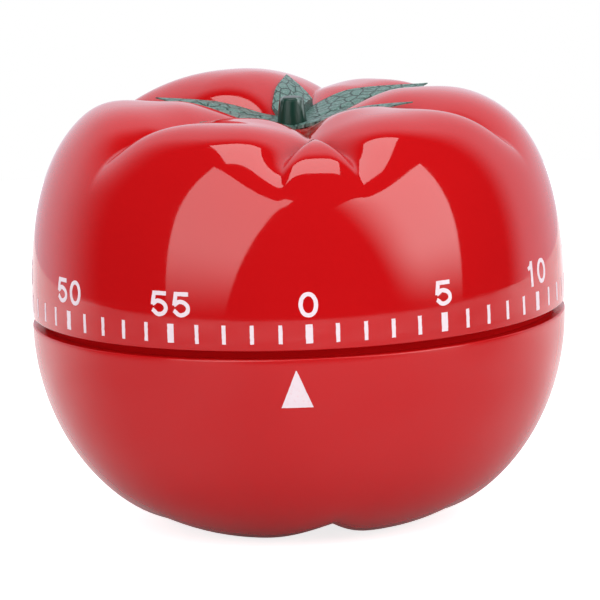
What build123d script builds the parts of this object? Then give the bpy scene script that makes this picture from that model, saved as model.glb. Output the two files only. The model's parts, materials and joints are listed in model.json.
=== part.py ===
"""Mechanical sixty minute kitchen timer in a tomato shaped housing.

The frame has +Z up, with its origin at the middle of the base.  The pointer on the
lower shell faces -Y.  The upper shell is the dial: it is pressed on the main arbor and
turns clockwise, seen from above, to set the time.  A spring driven movement hangs from
a deck plate inside the lower shell, with its bell underneath.
"""
import os
from math import acos, asin, atan2, cos, degrees, hypot, pi, radians, sin, sqrt

from build123d import *

# Housing
BODY_RADIUS = 32.5
WALL = 2.0
RIM_Z = 25.3
SEAM_GAP = 1.0
SKIRT_Z = RIM_Z + SEAM_GAP
SECTION_STATIONS = (-1.0, -0.7, -0.35, 0.0, 0.35, 0.7, 1.0)
LOBE_POWER = 2.4

# Upper shell: height over the seam, crest circle, crater
UPPER_HEIGHT = 27.1
UPPER_CREST_RADIUS = 14.5
UPPER_POWER = 2.6
UPPER_STEPS = 10
CRATER_DEPTH = 6.0
CRATER_STEPS = 5
UPPER_CREASE_START = 36.0
UPPER_CREASE_FULL = 66.0
UPPER_CREASE_END = 0.3
# Azimuth of each crease from the front, its depth, and how far the lobe after it is sunk
UPPER_LOBES = (
    (1.0, 4.4, 4.0),
    (11.0, 4.4, 1.4),
    (70.0, 3.8, 1.3),
    (130.0, 4.3, 1.9),
    (168.0, 3.0, 0.0),
    (245.0, 4.2, 1.2),
    (303.0, 3.8, 2.0),
)

# Lower shell: foot circle, underside dimple, flats that the timer stands on
LOWER_CREST_RADIUS = 10.0
LOWER_STEPS = 9
FOOT_FLAT_DEPTH = 0.25
DIMPLE_DEPTH = 2.4
DIMPLE_STEPS = 4
LOWER_CREASE_START = 50.0
LOWER_CREASE_END = 0.2
LOWER_LOBES = (
    (10.0, 2.5, 0.0),
    (62.0, 1.4, 0.0),
    (122.0, 1.7, 0.0),
    (185.0, 1.7, 0.0),
    (243.0, 1.7, 0.0),
    (297.0, 1.7, 0.0),
)
CORE_RADIUS = 3.0
CORE_LAP = 1.6

# Clearances
RUNNING_CLEARANCE = 0.05
FIT_CLEARANCE = 0.02
SKIRT_CLEARANCE = 0.25
END_SHAKE = 0.15

# Deck plate, which closes the lower shell and carries the movement
DECK_THICKNESS = 2.0
DECK_SINK = 2.3
LIP_SETBACK = 1.5
LIP_RADIUS = BODY_RADIUS - LIP_SETBACK
LIP_WIDTH = 1.4
LIP_RISE = 1.0
DECK_SCREW_INSET = 3.8
DECK_SCREW_CIRCLE = LIP_RADIUS - DECK_SCREW_INSET
DECK_SCREW_ANGLES = (95.0, 215.0, 335.0)
DECK_BOSS_RADIUS = 2.6
DECK_BOSS_LENGTH = 9.5
DECK_SCREW_RADIUS = 1.1
DECK_SCREW_LENGTH = 8.0
DECK_SPACER = 1.1
SCREW_HEAD_HEIGHT = 0.9
SCREW_HEAD_RATIO = 1.8

# Movement frame
PLATE_RADIUS = 22.5
PLATE_THICKNESS = 1.0
PILLAR_CIRCLE = 20.0
PILLAR_ANGLES = (135.0, 255.0, 325.0)
PILLAR_RADIUS = 2.0
PILLAR_HEIGHT = 9.5
PILLAR_SCREW_RADIUS = 1.0
PILLAR_SCREW_DEPTH = 4.0

# Main arbor
ARBOR_PIVOT_RADIUS = 1.2
SPRING_COLLET_RADIUS = 2.5
ARBOR_RADIUS = 2.2
ARBOR_FLANGE_RADIUS = 4.0
ARBOR_FLANGE_HEIGHT = 0.6
DRIVE_RADIUS = 1.9
DRIVE_FLAT = 1.4
DRIVE_LENGTH = 11.0
BUSH_WALL = 1.4
BUSH_FLANGE = 0.8
BUSH_FLANGE_HEIGHT = 0.6
HUB_RADIUS = 4.6
HUB_GUSSETS = 6
GUSSET_THICKNESS = 1.2
GUSSET_REACH = 4.5
GUSSET_HEIGHT = 7.0

# Levels over the back plate's upper face
SPRING_LEVEL = 0.4
SPRING_HEIGHT = 3.8
SECOND_WHEEL_LEVEL = 4.7
THIRD_WHEEL_LEVEL = 2.4
ESCAPE_WHEEL_LEVEL = 3.6
MAIN_WHEEL_LEVEL = 6.2
BALANCE_LEVEL = 0.7

# Gear train
LEAVES = 8
MAIN_TEETH = 60
MAIN_MODULE = 0.4
MAIN_WHEEL_THICKNESS = 1.0
SECOND_TEETH = 48
SECOND_MODULE = 0.35
THIRD_TEETH = 48
THIRD_MODULE = 0.3
WHEEL_THICKNESS = 0.7
PINION_OVERHANG = 0.3
PIVOT_RADIUS = 0.45
WHEEL_HOLES = 5
SECOND_ANGLE = 90.0
THIRD_REACH = 17.2
ESCAPE_REACH = 16.2
PALLET_REACH = 16.5

# Escapement
ESCAPE_TEETH = 20
ESCAPE_RADIUS = 5.0
ESCAPE_TOOTH_DEPTH = 1.1
ESCAPE_TOOTH_RAKE = 9.0
PALLET_DISTANCE = 7.0
PALLET_PIN_RADIUS = 0.35
PALLET_PIN_ANGLE = 40.0
PALLET_PIN_CLEARANCE = 0.45
PALLET_THICKNESS = 0.8
PALLET_ARM_WIDTH = 1.4
PALLET_ARBOR_RADIUS = 0.7
BALANCE_HALF_LENGTH = 5.0
BALANCE_WIDTH = 1.4
BALANCE_THICKNESS = 1.0
BALANCE_WEIGHT_RADIUS = 1.5
BALANCE_ANGLE = -45.0

# Springs
MAINSPRING_THICKNESS = 0.4
MAINSPRING_PITCH = 0.98
MAINSPRING_HALF_TURNS = 13
MAINSPRING_ANGLE = 110.0
SPRING_POST_RADIUS = 0.9
CLUTCH_RADIUS = 5.4
CLUTCH_THICKNESS = 0.25
CLUTCH_HEIGHT = 0.8
HAMMER_SPRING_THICKNESS = 0.25
HAMMER_SPRING_PITCH = 0.7
HAMMER_SPRING_HALF_TURNS = 5
HAMMER_SPRING_HEIGHT = 1.5
HAMMER_SPRING_ANGLE = 30.0

# Striking work
CAM_RADIUS = 4.2
CAM_RISE = 1.4
CAM_THICKNESS = 0.7
CLIP_THICKNESS = 0.5
CLIP_WIDTH = 1.3
CLIP_OPENING = 70.0
HAMMER_REACH = 15.0
HAMMER_ANGLE = 200.0
HAMMER_ARBOR_RADIUS = 0.8
TAIL_NOSE_RADIUS = 0.8
TAIL_WIDTH = 1.4
TAIL_CLEARANCE = 0.4
HUB_WALL = 0.9
STOP_CIRCLE = 10.5
STOP_PIN_RADIUS = 0.5
STOP_PIN_RISE = 0.6
STOP_STUD_RADIUS = 0.6
STOP_ANGLE = 300.0

# Bell
BELL_RADIUS = 15.0
BELL_HEIGHT = 3.4
BELL_THICKNESS = 0.8
BELL_CORNER = 1.4
BELL_CLEARANCE = 0.2
BELL_PLACE = (-3.0, -4.0)
BELL_POST_RADIUS = 1.5
BELL_SCREW_RADIUS = 0.9
BELL_NUT_RADIUS = 2.2
BELL_NUT_HEIGHT = 0.8
HAMMER_HEAD_RADIUS = 1.6
HAMMER_HEAD_ANGLE = 250.0
HAMMER_HEAD_GAP = 0.4
HAMMER_ARM_THICKNESS = 0.8
HAMMER_ARM_WIDTH = 1.2

# Calyx
# Azimuth of each leaf, its length as a share of the common one, and the rise of its tip
CALYX_LEAVES = (
    (70.0, 0.94, 3.0),
    (128.0, 1.18, 2.7),
    (178.0, 0.76, 3.5),
    (246.0, 1.07, 2.6),
    (305.0, 0.84, 2.0),
)
LEAF_LENGTH = 16.6
LEAF_WIDTH = 6.4
LEAF_ROOT_WIDTH = 3.4
LEAF_THICKNESS = 0.9
LEAF_LIFT = 0.4
STEM_BASE_RADIUS = 1.95
STEM_TOP_RADIUS = 1.45
STEM_HEIGHT = 3.2
PEG_RADIUS = 1.4
PEG_LENGTH = 3.0

# Heights that follow
DECK_BASE_Z = RIM_Z - DECK_SINK
DECK_TOP_Z = DECK_BASE_Z + DECK_THICKNESS
LIP_TOP_Z = SKIRT_Z + LIP_RISE
FRONT_TOP_Z = DECK_BASE_Z - DECK_SPACER
FRONT_BASE_Z = FRONT_TOP_Z - PLATE_THICKNESS
BACK_TOP_Z = FRONT_BASE_Z - PILLAR_HEIGHT
BACK_BASE_Z = BACK_TOP_Z - PLATE_THICKNESS
MAIN_WHEEL_Z = BACK_TOP_Z + MAIN_WHEEL_LEVEL
MAIN_WHEEL_TOP_Z = MAIN_WHEEL_Z + MAIN_WHEEL_THICKNESS
CAM_Z = MAIN_WHEEL_TOP_Z + CLUTCH_HEIGHT
CAM_TOP_Z = CAM_Z + CAM_THICKNESS
SHOULDER_Z = LIP_TOP_Z
CRATER_Z = SKIRT_Z + UPPER_HEIGHT - CRATER_DEPTH
HUB_TOP_Z = CRATER_Z - WALL / 2
BELL_TOP_Z = BACK_BASE_Z - SCREW_HEAD_HEIGHT - BELL_CLEARANCE
BELL_BASE_Z = BELL_TOP_Z - BELL_HEIGHT


def polar(radius, angle):
    """Plan point at an angle in degrees, counted from +X."""
    return Vector(radius * cos(radians(angle)), radius * sin(radians(angle)))


def cylinder(radius, base_z, height, place=(0, 0)):
    """Upright cylinder standing on base_z."""
    centre = Vector(place)
    return Pos(centre.X, centre.Y, base_z) * Cylinder(
        radius, height, align=(Align.CENTER, Align.CENTER, Align.MIN)
    )


def ring(outer, inner, base_z, height, place=(0, 0)):
    """Upright ring standing on base_z."""
    return cylinder(outer, base_z, height, place) - cylinder(inner, base_z, height, place)


def turned(points):
    """Solid of revolution about Z from (radius, height) corners."""
    outline = Polyline(*[(r, 0, z) for r, z in points], close=True)
    return revolve(make_face(outline), Axis.Z)


def bar(start, end, width, base_z, thickness):
    """Flat bar with round ends between two plan points."""
    span = Vector(end) - Vector(start)
    outline = SlotCenterToCenter(span.length, width)
    middle = (Vector(start) + Vector(end)) / 2
    angle = degrees(atan2(span.Y, span.X))
    placed = Pos(middle.X, middle.Y, base_z) * Rot(0, 0, angle) * outline
    return extrude(placed, thickness, dir=(0, 0, 1))


def smooth(share):
    """Smooth step from 0 to 1."""
    share = min(max(share, 0.0), 1.0)
    return share * share * (3 - 2 * share)


# Lobed shells


def upper_meridian():
    """Radius and height along the dial cap's crown line, skirt to crater, with the shares of the
    creases and of the sunk lobes that reach each point."""
    points = []
    exponent = 2 / UPPER_POWER
    for step in range(UPPER_STEPS + 1):
        angle = 90 * (step / UPPER_STEPS) ** 1.2
        across = max(cos(radians(angle)), 0.0) ** exponent
        radius = UPPER_CREST_RADIUS + (BODY_RADIUS - UPPER_CREST_RADIUS) * across
        height = SKIRT_Z + UPPER_HEIGHT * sin(radians(angle)) ** exponent
        crease = smooth((angle - UPPER_CREASE_START) / (UPPER_CREASE_FULL - UPPER_CREASE_START))
        sunk = smooth((angle - UPPER_CREASE_START) / (90 - UPPER_CREASE_START))
        points.append((radius, height, crease, sunk))
    for step in range(1, CRATER_STEPS + 1):
        inward = step / CRATER_STEPS
        radius = UPPER_CREST_RADIUS + (CORE_RADIUS - UPPER_CREST_RADIUS) * inward
        height = CRATER_Z + CRATER_DEPTH * cos(pi / 2 * inward)
        share = 1 + (UPPER_CREASE_END - 1) * inward
        points.append((radius, height, share, share))
    return points


def lower_meridian():
    """The same along the base's crown line, rim to dimple."""
    points = []
    depth = RIM_Z + FOOT_FLAT_DEPTH
    for step in range(LOWER_STEPS + 1):
        angle = 90 * step / LOWER_STEPS
        radius = LOWER_CREST_RADIUS + (BODY_RADIUS - LOWER_CREST_RADIUS) * cos(radians(angle))
        height = RIM_Z - depth * sin(radians(angle))
        share = smooth((angle - LOWER_CREASE_START) / (90 - LOWER_CREASE_START))
        points.append((radius, height, share, share))
    for step in range(1, DIMPLE_STEPS + 1):
        inward = step / DIMPLE_STEPS
        radius = LOWER_CREST_RADIUS + (CORE_RADIUS - LOWER_CREST_RADIUS) * inward
        height = -FOOT_FLAT_DEPTH + DIMPLE_DEPTH * (1 - cos(pi * inward)) / 2
        share = 1 + (LOWER_CREASE_END - 1) * inward
        points.append((radius, height, share, share))
    return points


def wall_section(meridian, depths, azimuth):
    """Closed wall section in the half plane at an azimuth, its outer face drawn in by depths."""
    line = [point[:2] for point in meridian]
    outer = offset_line(line, depths)
    inner = offset_line(outer, [WALL] * len(outer))
    lengths = [0.0]
    for before, after in zip(line, line[1:]):
        lengths.append(lengths[-1] + hypot(after[0] - before[0], after[1] - before[1]))
    parameters = [length / lengths[-1] for length in lengths]

    def placed(flat):
        turn = radians(azimuth)
        return [Vector(r * sin(turn), -r * cos(turn), z) for r, z in flat]

    outer_points = placed(outer)
    inner_points = placed(inner)
    outer_edge = Edge.make_spline(outer_points, parameters=parameters)
    inner_edge = Edge.make_spline(inner_points, parameters=parameters)
    core_edge = Edge.make_line(outer_points[-1], inner_points[-1])
    rim_edge = Edge.make_line(inner_points[0], outer_points[0])
    return Wire([outer_edge, core_edge, inner_edge, rim_edge])


def offset_line(line, distances):
    """Points moved to the inside of the shell, square to the line through them."""
    side = 1.0 if line[0][1] < line[len(line) // 2][1] else -1.0
    moved = []
    last = len(line) - 1
    for index, distance in enumerate(distances):
        before = line[max(index - 1, 0)]
        after = line[min(index + 1, last)]
        along_r = after[0] - before[0]
        along_z = after[1] - before[1]
        length = hypot(along_r, along_z)
        inward_r = -side * along_z / length
        inward_z = side * along_r / length
        if index == 0:
            inward_r, inward_z = -1.0, 0.0
        if index == last:
            inward_r, inward_z = 0.0, -side
        moved.append((line[index][0] + inward_r * distance, line[index][1] + inward_z * distance))
    return moved


def lobed_shell(meridian, lobes):
    """Shell of even wall whose lobes meet in creases: one loft round the axis per lobe."""
    sectors = []
    for index, (start, start_depth, sunk) in enumerate(lobes):
        end, end_depth, _ = lobes[(index + 1) % len(lobes)]
        if end < start:
            end += 360
        sections = []
        for station in SECTION_STATIONS:
            azimuth = (start + end) / 2 + station * (end - start) / 2
            crease_depth = start_depth if station < 0 else end_depth
            rim = abs(station) ** LOBE_POWER
            depths = [
                crease_depth * crease * rim + sunk * middle * (1 - rim) for _, _, crease, middle in meridian
            ]
            sections.append(wall_section(meridian, depths, azimuth))
        sectors.append(Solid.make_loft(sections))
    return sectors[0].fuse(*sectors[1:])


def upper_shell():
    """Dial cap: lobed crown, thinned skirt over the deck's lip, and the hub on the arbor."""
    shell = lobed_shell(upper_meridian(), UPPER_LOBES)
    rebate_radius = LIP_RADIUS + SKIRT_CLEARANCE
    shell -= cylinder(rebate_radius, SKIRT_Z, LIP_RISE + SKIRT_CLEARANCE)
    hub = cylinder(HUB_RADIUS, SHOULDER_Z, HUB_TOP_Z - SHOULDER_Z)
    for index in range(HUB_GUSSETS):
        gusset_outline = Polyline(
            (HUB_RADIUS - GUSSET_THICKNESS, 0, HUB_TOP_Z - GUSSET_HEIGHT),
            (HUB_RADIUS + GUSSET_REACH, 0, HUB_TOP_Z),
            (HUB_RADIUS - GUSSET_THICKNESS, 0, HUB_TOP_Z),
            close=True,
        )
        gusset = extrude(make_face(gusset_outline), GUSSET_THICKNESS / 2, both=True)
        hub += Rot(0, 0, index * 360 / HUB_GUSSETS) * gusset
    shell += hub
    shell -= drive_section(FIT_CLEARANCE, DRIVE_LENGTH + END_SHAKE)
    shell -= cylinder(PEG_RADIUS + FIT_CLEARANCE, HUB_TOP_Z - PEG_LENGTH - END_SHAKE, CRATER_DEPTH)
    return shell


def drive_section(clearance, length):
    """D shaped drive of the main arbor above its shoulder, grown by a clearance."""
    round_bar = cylinder(DRIVE_RADIUS + clearance, SHOULDER_Z, length)
    width = 2 * BODY_RADIUS
    flat = Pos(0, DRIVE_FLAT + clearance, SHOULDER_Z) * Box(
        width, width, length, align=(Align.CENTER, Align.MIN, Align.MIN)
    )
    return round_bar - flat


def lower_shell():
    """Base: lobed bowl with flat feet, a seat for the deck and three screw bosses."""
    shell = lobed_shell(lower_meridian(), LOWER_LOBES)
    core_base = DIMPLE_DEPTH - FOOT_FLAT_DEPTH + LOWER_CREASE_END
    shell += cylinder(CORE_RADIUS + CORE_LAP, core_base, WALL)
    boss_z = DECK_BASE_Z - DECK_BOSS_LENGTH
    for angle in DECK_SCREW_ANGLES:
        shell += cylinder(DECK_BOSS_RADIUS, boss_z, DECK_BOSS_LENGTH, polar(DECK_SCREW_CIRCLE, angle))
    shell -= cylinder(LIP_RADIUS + RUNNING_CLEARANCE, DECK_BASE_Z, DECK_SINK)
    for angle in DECK_SCREW_ANGLES:
        hole_z = DECK_TOP_Z - DECK_SCREW_LENGTH - END_SHAKE
        place = polar(DECK_SCREW_CIRCLE, angle)
        shell -= cylinder(DECK_SCREW_RADIUS + FIT_CLEARANCE, hole_z, DECK_SCREW_LENGTH, place)
    shell -= cylinder(BODY_RADIUS, -WALL, WALL)
    return shell


# Deck and movement frame


def pillar_places():
    """Plan points of the pillars."""
    return [polar(PILLAR_CIRCLE, angle) for angle in PILLAR_ANGLES]


def deck_plate():
    """Cover disc with an upstanding lip and three spacers that the movement hangs from."""
    deck = cylinder(LIP_RADIUS, DECK_BASE_Z, DECK_THICKNESS)
    deck += ring(LIP_RADIUS, LIP_RADIUS - LIP_WIDTH, DECK_BASE_Z, LIP_TOP_Z - DECK_BASE_Z)
    for place in pillar_places():
        deck += cylinder(PILLAR_RADIUS + BUSH_FLANGE, FRONT_TOP_Z, DECK_SPACER, place)
    for place in pillar_places():
        deck -= cylinder(
            PILLAR_SCREW_RADIUS + RUNNING_CLEARANCE, FRONT_TOP_Z, DECK_TOP_Z - FRONT_TOP_Z, place
        )
    for angle in DECK_SCREW_ANGLES:
        place = polar(DECK_SCREW_CIRCLE, angle)
        deck -= cylinder(DECK_SCREW_RADIUS + RUNNING_CLEARANCE, DECK_BASE_Z, DECK_THICKNESS, place)
    opening = ARBOR_RADIUS + RUNNING_CLEARANCE + BUSH_WALL + BUSH_FLANGE + SKIRT_CLEARANCE
    return deck - cylinder(opening, DECK_BASE_Z, DECK_THICKNESS)


def screw(radius, seat_z, length, place, head_down=False):
    """Cheese head screw whose head lies on seat_z."""
    head_z = seat_z - SCREW_HEAD_HEIGHT if head_down else seat_z
    shank_z = seat_z if head_down else seat_z - length
    head = cylinder(radius * SCREW_HEAD_RATIO, head_z, SCREW_HEAD_HEIGHT, place)
    return head + cylinder(radius, shank_z, length, place)


def pillar(place):
    """Turned pillar, tapped at both ends."""
    tapped = PILLAR_SCREW_RADIUS + FIT_CLEARANCE
    depth = PILLAR_SCREW_DEPTH + END_SHAKE
    body = cylinder(PILLAR_RADIUS, BACK_TOP_Z, PILLAR_HEIGHT, place)
    body -= cylinder(tapped, BACK_TOP_Z, depth, place)
    return body - cylinder(tapped, FRONT_BASE_Z - depth, depth, place)


def plate_blank(base_z):
    """Round plate with its three screw holes."""
    plate = cylinder(PLATE_RADIUS, base_z, PLATE_THICKNESS)
    for place in pillar_places():
        plate -= cylinder(PILLAR_SCREW_RADIUS + RUNNING_CLEARANCE, base_z, PLATE_THICKNESS, place)
    return plate


def drilled(plate, base_z, radius, place):
    """Plate with one more hole."""
    return plate - cylinder(radius, base_z, PLATE_THICKNESS, place)


def back_plate(train):
    """Lower plate, with pivot holes, the bell post's seat and the springs' posts."""
    plate = plate_blank(BACK_BASE_Z)
    for place in (train.second, train.third, train.escape, train.pallet):
        plate = drilled(plate, BACK_BASE_Z, PIVOT_RADIUS + RUNNING_CLEARANCE, place)
    plate = drilled(plate, BACK_BASE_Z, ARBOR_PIVOT_RADIUS + RUNNING_CLEARANCE, (0, 0))
    plate = drilled(plate, BACK_BASE_Z, HAMMER_ARBOR_RADIUS + RUNNING_CLEARANCE, train.hammer)
    plate = drilled(plate, BACK_BASE_Z, BELL_SCREW_RADIUS + FIT_CLEARANCE, BELL_PLACE)
    for place in spring_post_places(train):
        plate = drilled(plate, BACK_BASE_Z, SPRING_POST_RADIUS / 2 + FIT_CLEARANCE, place)
    return plate


def front_plate(train):
    """Upper plate, with pivot holes, the arbor bush's seat and the stop stud's hole."""
    plate = plate_blank(FRONT_BASE_Z)
    for place in (train.second, train.third, train.escape, train.pallet, train.hammer):
        plate = drilled(plate, FRONT_BASE_Z, PIVOT_RADIUS + RUNNING_CLEARANCE, place)
    bush_radius = ARBOR_RADIUS + RUNNING_CLEARANCE + BUSH_WALL
    plate = drilled(plate, FRONT_BASE_Z, bush_radius + FIT_CLEARANCE, (0, 0))
    return drilled(plate, FRONT_BASE_Z, STOP_STUD_RADIUS + FIT_CLEARANCE, polar(STOP_CIRCLE, STOP_ANGLE))


def arbor_bush():
    """Flanged bush of the main arbor, pressed in the front plate from above."""
    bore = ARBOR_RADIUS + RUNNING_CLEARANCE
    bush = ring(bore + BUSH_WALL, bore, FRONT_BASE_Z, PLATE_THICKNESS)
    flange = ring(bore + BUSH_WALL + BUSH_FLANGE, bore, FRONT_TOP_Z, BUSH_FLANGE_HEIGHT)
    return bush + flange


def stop_stud():
    """Stud under the front plate that ends the dial's turn both ways."""
    base_z = MAIN_WHEEL_TOP_Z + END_SHAKE
    return cylinder(STOP_STUD_RADIUS, base_z, FRONT_TOP_Z - base_z, polar(STOP_CIRCLE, STOP_ANGLE))


# Gear train


class Train:
    """Plan points of the arbors, each at its working distance from the one before."""

    def __init__(self):
        self.second_distance = MAIN_MODULE * (MAIN_TEETH + LEAVES) / 2
        self.third_distance = SECOND_MODULE * (SECOND_TEETH + LEAVES) / 2
        self.escape_distance = THIRD_MODULE * (THIRD_TEETH + LEAVES) / 2
        second_angle = SECOND_ANGLE
        third_angle = second_angle - self.turn(self.second_distance, THIRD_REACH, self.third_distance)
        escape_angle = third_angle - self.turn(THIRD_REACH, ESCAPE_REACH, self.escape_distance)
        pallet_angle = escape_angle - self.turn(ESCAPE_REACH, PALLET_REACH, PALLET_DISTANCE)
        self.main = Vector(0, 0)
        self.second = polar(self.second_distance, second_angle)
        self.third = polar(THIRD_REACH, third_angle)
        self.escape = polar(ESCAPE_REACH, escape_angle)
        self.pallet = polar(PALLET_REACH, pallet_angle)
        self.hammer = polar(HAMMER_REACH, HAMMER_ANGLE)

    @staticmethod
    def turn(reach, next_reach, distance):
        """Angle at the centre between two arbors that are a given distance apart."""
        return degrees(acos((reach**2 + next_reach**2 - distance**2) / (2 * reach * next_reach)))


def addendum_factor(teeth):
    """Addendum of a cycloidal wheel that drives a pinion, in modules."""
    ratio = teeth / LEAVES
    roll = 1.0
    for _ in range(40):
        roll = pi / LEAVES + 2 * ratio * atan2(sin(roll), 1 + 2 * ratio - cos(roll))
    reach = 1 + 2 * ratio
    return 0.25 * LEAVES * (1 - reach + sqrt(1 + reach**2 - 2 * reach * cos(roll)))


def direction(start, end):
    """Angle in degrees of the line from one plan point to another."""
    return degrees(atan2(end.Y - start.Y, end.X - start.X))


def wheel(teeth, module, thickness, bore, base_z, place, mate):
    """Brass wheel with cycloidal teeth, a tooth space facing the mating pinion."""
    factor = addendum_factor(teeth)
    pitch_radius = module * teeth / 2
    tip_radius = pitch_radius + 0.95 * factor * module
    root_radius = pitch_radius - pi / 2 * module
    pitch = 360 / teeth
    half_tooth = pitch / 4
    edges = []
    for index in range(teeth):
        middle = (index + 0.5) * pitch
        root_start = polar(root_radius, middle - half_tooth)
        flank_start = polar(pitch_radius, middle - half_tooth)
        tip = polar(tip_radius, middle)
        flank_end = polar(pitch_radius, middle + half_tooth)
        root_end = polar(root_radius, middle + half_tooth)
        edges.append(Edge.make_line(root_start, flank_start))
        edges.append(RadiusArc(flank_start, tip, -1.4 * factor * module).edge())
        edges.append(RadiusArc(tip, flank_end, -1.4 * factor * module).edge())
        edges.append(Edge.make_line(flank_end, root_end))
        edges.append(Edge.make_line(root_end, polar(root_radius, middle + pitch - half_tooth)))
    blank = Solid.extrude(Face(Wire(edges)), Vector(0, 0, thickness))
    blank -= cylinder(bore, 0, thickness)
    hole_circle = (root_radius + bore) / 2
    hole_radius = (root_radius - bore) / 4
    for index in range(WHEEL_HOLES):
        blank -= cylinder(hole_radius, 0, thickness, polar(hole_circle, index * 360 / WHEEL_HOLES))
    return Pos(place.X, place.Y, base_z) * Rot(0, 0, direction(place, mate)) * blank


def pinion_root(teeth, module):
    """Root radius of the pinion that a wheel of so many teeth drives."""
    return module * LEAVES / 2 - module * (0.95 * addendum_factor(teeth) + 0.4)


def pinion(teeth, module, base_z, height, place, mate):
    """Pinion leaves with round tips, one of them facing the wheel that drives it."""
    pitch_radius = module * LEAVES / 2
    root_radius = pinion_root(teeth, module)
    tip_radius = pitch_radius + 0.525 * module
    pitch = 360 / LEAVES
    half_leaf = degrees(0.525 * module / pitch_radius)
    edges = []
    for index in range(LEAVES):
        middle = index * pitch
        root_start = polar(root_radius, middle - half_leaf)
        flank_start = polar(pitch_radius, middle - half_leaf)
        flank_end = polar(pitch_radius, middle + half_leaf)
        root_end = polar(root_radius, middle + half_leaf)
        edges.append(Edge.make_line(root_start, flank_start))
        edges.append(Edge.make_three_point_arc(flank_start, polar(tip_radius, middle), flank_end))
        edges.append(Edge.make_line(flank_end, root_end))
        edges.append(Edge.make_line(root_end, polar(root_radius, middle + pitch - half_leaf)))
    leaves = Solid.extrude(Face(Wire(edges)), Vector(0, 0, height))
    return Pos(place.X, place.Y, base_z) * Rot(0, 0, direction(place, mate)) * leaves


def arbor_rod(radius, place):
    """Plain arbor between the plates, with a pivot through each."""
    length = PILLAR_HEIGHT - 2 * END_SHAKE
    rod = cylinder(radius, BACK_TOP_Z + END_SHAKE, length, place)
    return rod + cylinder(PIVOT_RADIUS, BACK_BASE_Z, FRONT_TOP_Z - BACK_BASE_Z, place)


def pinion_arbor(teeth, module, wheel_z, wheel_thickness, place, mate):
    """Arbor cut with leaves at the level of the wheel that drives it."""
    leaves_z = wheel_z - PINION_OVERHANG
    height = wheel_thickness + 2 * PINION_OVERHANG
    rod = arbor_rod(pinion_root(teeth, module), place)
    return rod + pinion(teeth, module, leaves_z, height, place, mate)


def escape_wheel(train):
    """Escape wheel with raked, pointed teeth."""
    pitch = 360 / ESCAPE_TEETH
    root_radius = ESCAPE_RADIUS - ESCAPE_TOOTH_DEPTH
    corners = []
    for index in range(ESCAPE_TEETH):
        corners.append(polar(root_radius, index * pitch))
        corners.append(polar(ESCAPE_RADIUS, index * pitch + ESCAPE_TOOTH_RAKE))
    blank = extrude(make_face(Polyline(*corners, close=True)), WHEEL_THICKNESS)
    blank -= cylinder(pinion_root(THIRD_TEETH, THIRD_MODULE) + FIT_CLEARANCE, 0, WHEEL_THICKNESS)
    return Pos(train.escape.X, train.escape.Y, BACK_TOP_Z + ESCAPE_WHEEL_LEVEL) * blank


# Escapement


def pallet_pin_places(train):
    """Plan points of the two pallet pins, just outside the escape wheel's tips."""
    reach = ESCAPE_RADIUS + PALLET_PIN_RADIUS + PALLET_PIN_CLEARANCE
    toward = direction(train.escape, train.pallet)
    return [train.escape + polar(reach, toward + side * PALLET_PIN_ANGLE) for side in (-1, 1)]


def pallet_z():
    """Underside of the anchor, just over the escape wheel."""
    return BACK_TOP_Z + ESCAPE_WHEEL_LEVEL + WHEEL_THICKNESS + PINION_OVERHANG


def pallet_anchor(train):
    """Anchor lever with an arm to each pin."""
    base_z = pallet_z()
    hub_radius = PALLET_ARBOR_RADIUS + HUB_WALL
    anchor = cylinder(hub_radius, base_z, PALLET_THICKNESS, train.pallet)
    for place in pallet_pin_places(train):
        anchor += bar(train.pallet, place, PALLET_ARM_WIDTH, base_z, PALLET_THICKNESS)
    for place in pallet_pin_places(train):
        anchor -= cylinder(PALLET_PIN_RADIUS + FIT_CLEARANCE, base_z, PALLET_THICKNESS, place)
    return anchor - cylinder(PALLET_ARBOR_RADIUS + FIT_CLEARANCE, base_z, PALLET_THICKNESS, train.pallet)


def pallet_pins(train):
    """Two hardened pins that hang from the anchor beside the escape wheel."""
    base_z = BACK_TOP_Z + ESCAPE_WHEEL_LEVEL
    height = pallet_z() + PALLET_THICKNESS - base_z
    pins = [cylinder(PALLET_PIN_RADIUS, base_z, height, place) for place in pallet_pin_places(train)]
    return Compound(children=pins)


def balance_bar(train):
    """Weighted bar that sets the beat."""
    base_z = BACK_TOP_Z + BALANCE_LEVEL
    ends = [train.pallet + polar(side * BALANCE_HALF_LENGTH, BALANCE_ANGLE) for side in (-1, 1)]
    weights = bar(ends[0], ends[1], BALANCE_WIDTH, base_z, BALANCE_THICKNESS)
    for place in ends:
        weights += cylinder(BALANCE_WEIGHT_RADIUS, base_z, BALANCE_THICKNESS, place)
    weights += cylinder(PALLET_ARBOR_RADIUS + HUB_WALL, base_z, BALANCE_THICKNESS, train.pallet)
    return weights - cylinder(
        PALLET_ARBOR_RADIUS + FIT_CLEARANCE, base_z, BALANCE_THICKNESS, train.pallet
    )


# Main arbor and what turns with it


def main_arbor():
    """Turned arbor: pivot, spring collet, wheel flange, journal and D shaped drive."""
    collet_z = BACK_TOP_Z + END_SHAKE
    flange_z = MAIN_WHEEL_Z - ARBOR_FLANGE_HEIGHT
    body = turned(
        [
            (0, BACK_BASE_Z),
            (ARBOR_PIVOT_RADIUS, BACK_BASE_Z),
            (ARBOR_PIVOT_RADIUS, collet_z),
            (SPRING_COLLET_RADIUS, collet_z),
            (SPRING_COLLET_RADIUS, flange_z),
            (ARBOR_FLANGE_RADIUS, flange_z),
            (ARBOR_FLANGE_RADIUS, MAIN_WHEEL_Z),
            (ARBOR_RADIUS, MAIN_WHEEL_Z),
            (ARBOR_RADIUS, SHOULDER_Z),
            (0, SHOULDER_Z),
        ]
    )
    return body + drive_section(0, DRIVE_LENGTH)


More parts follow.
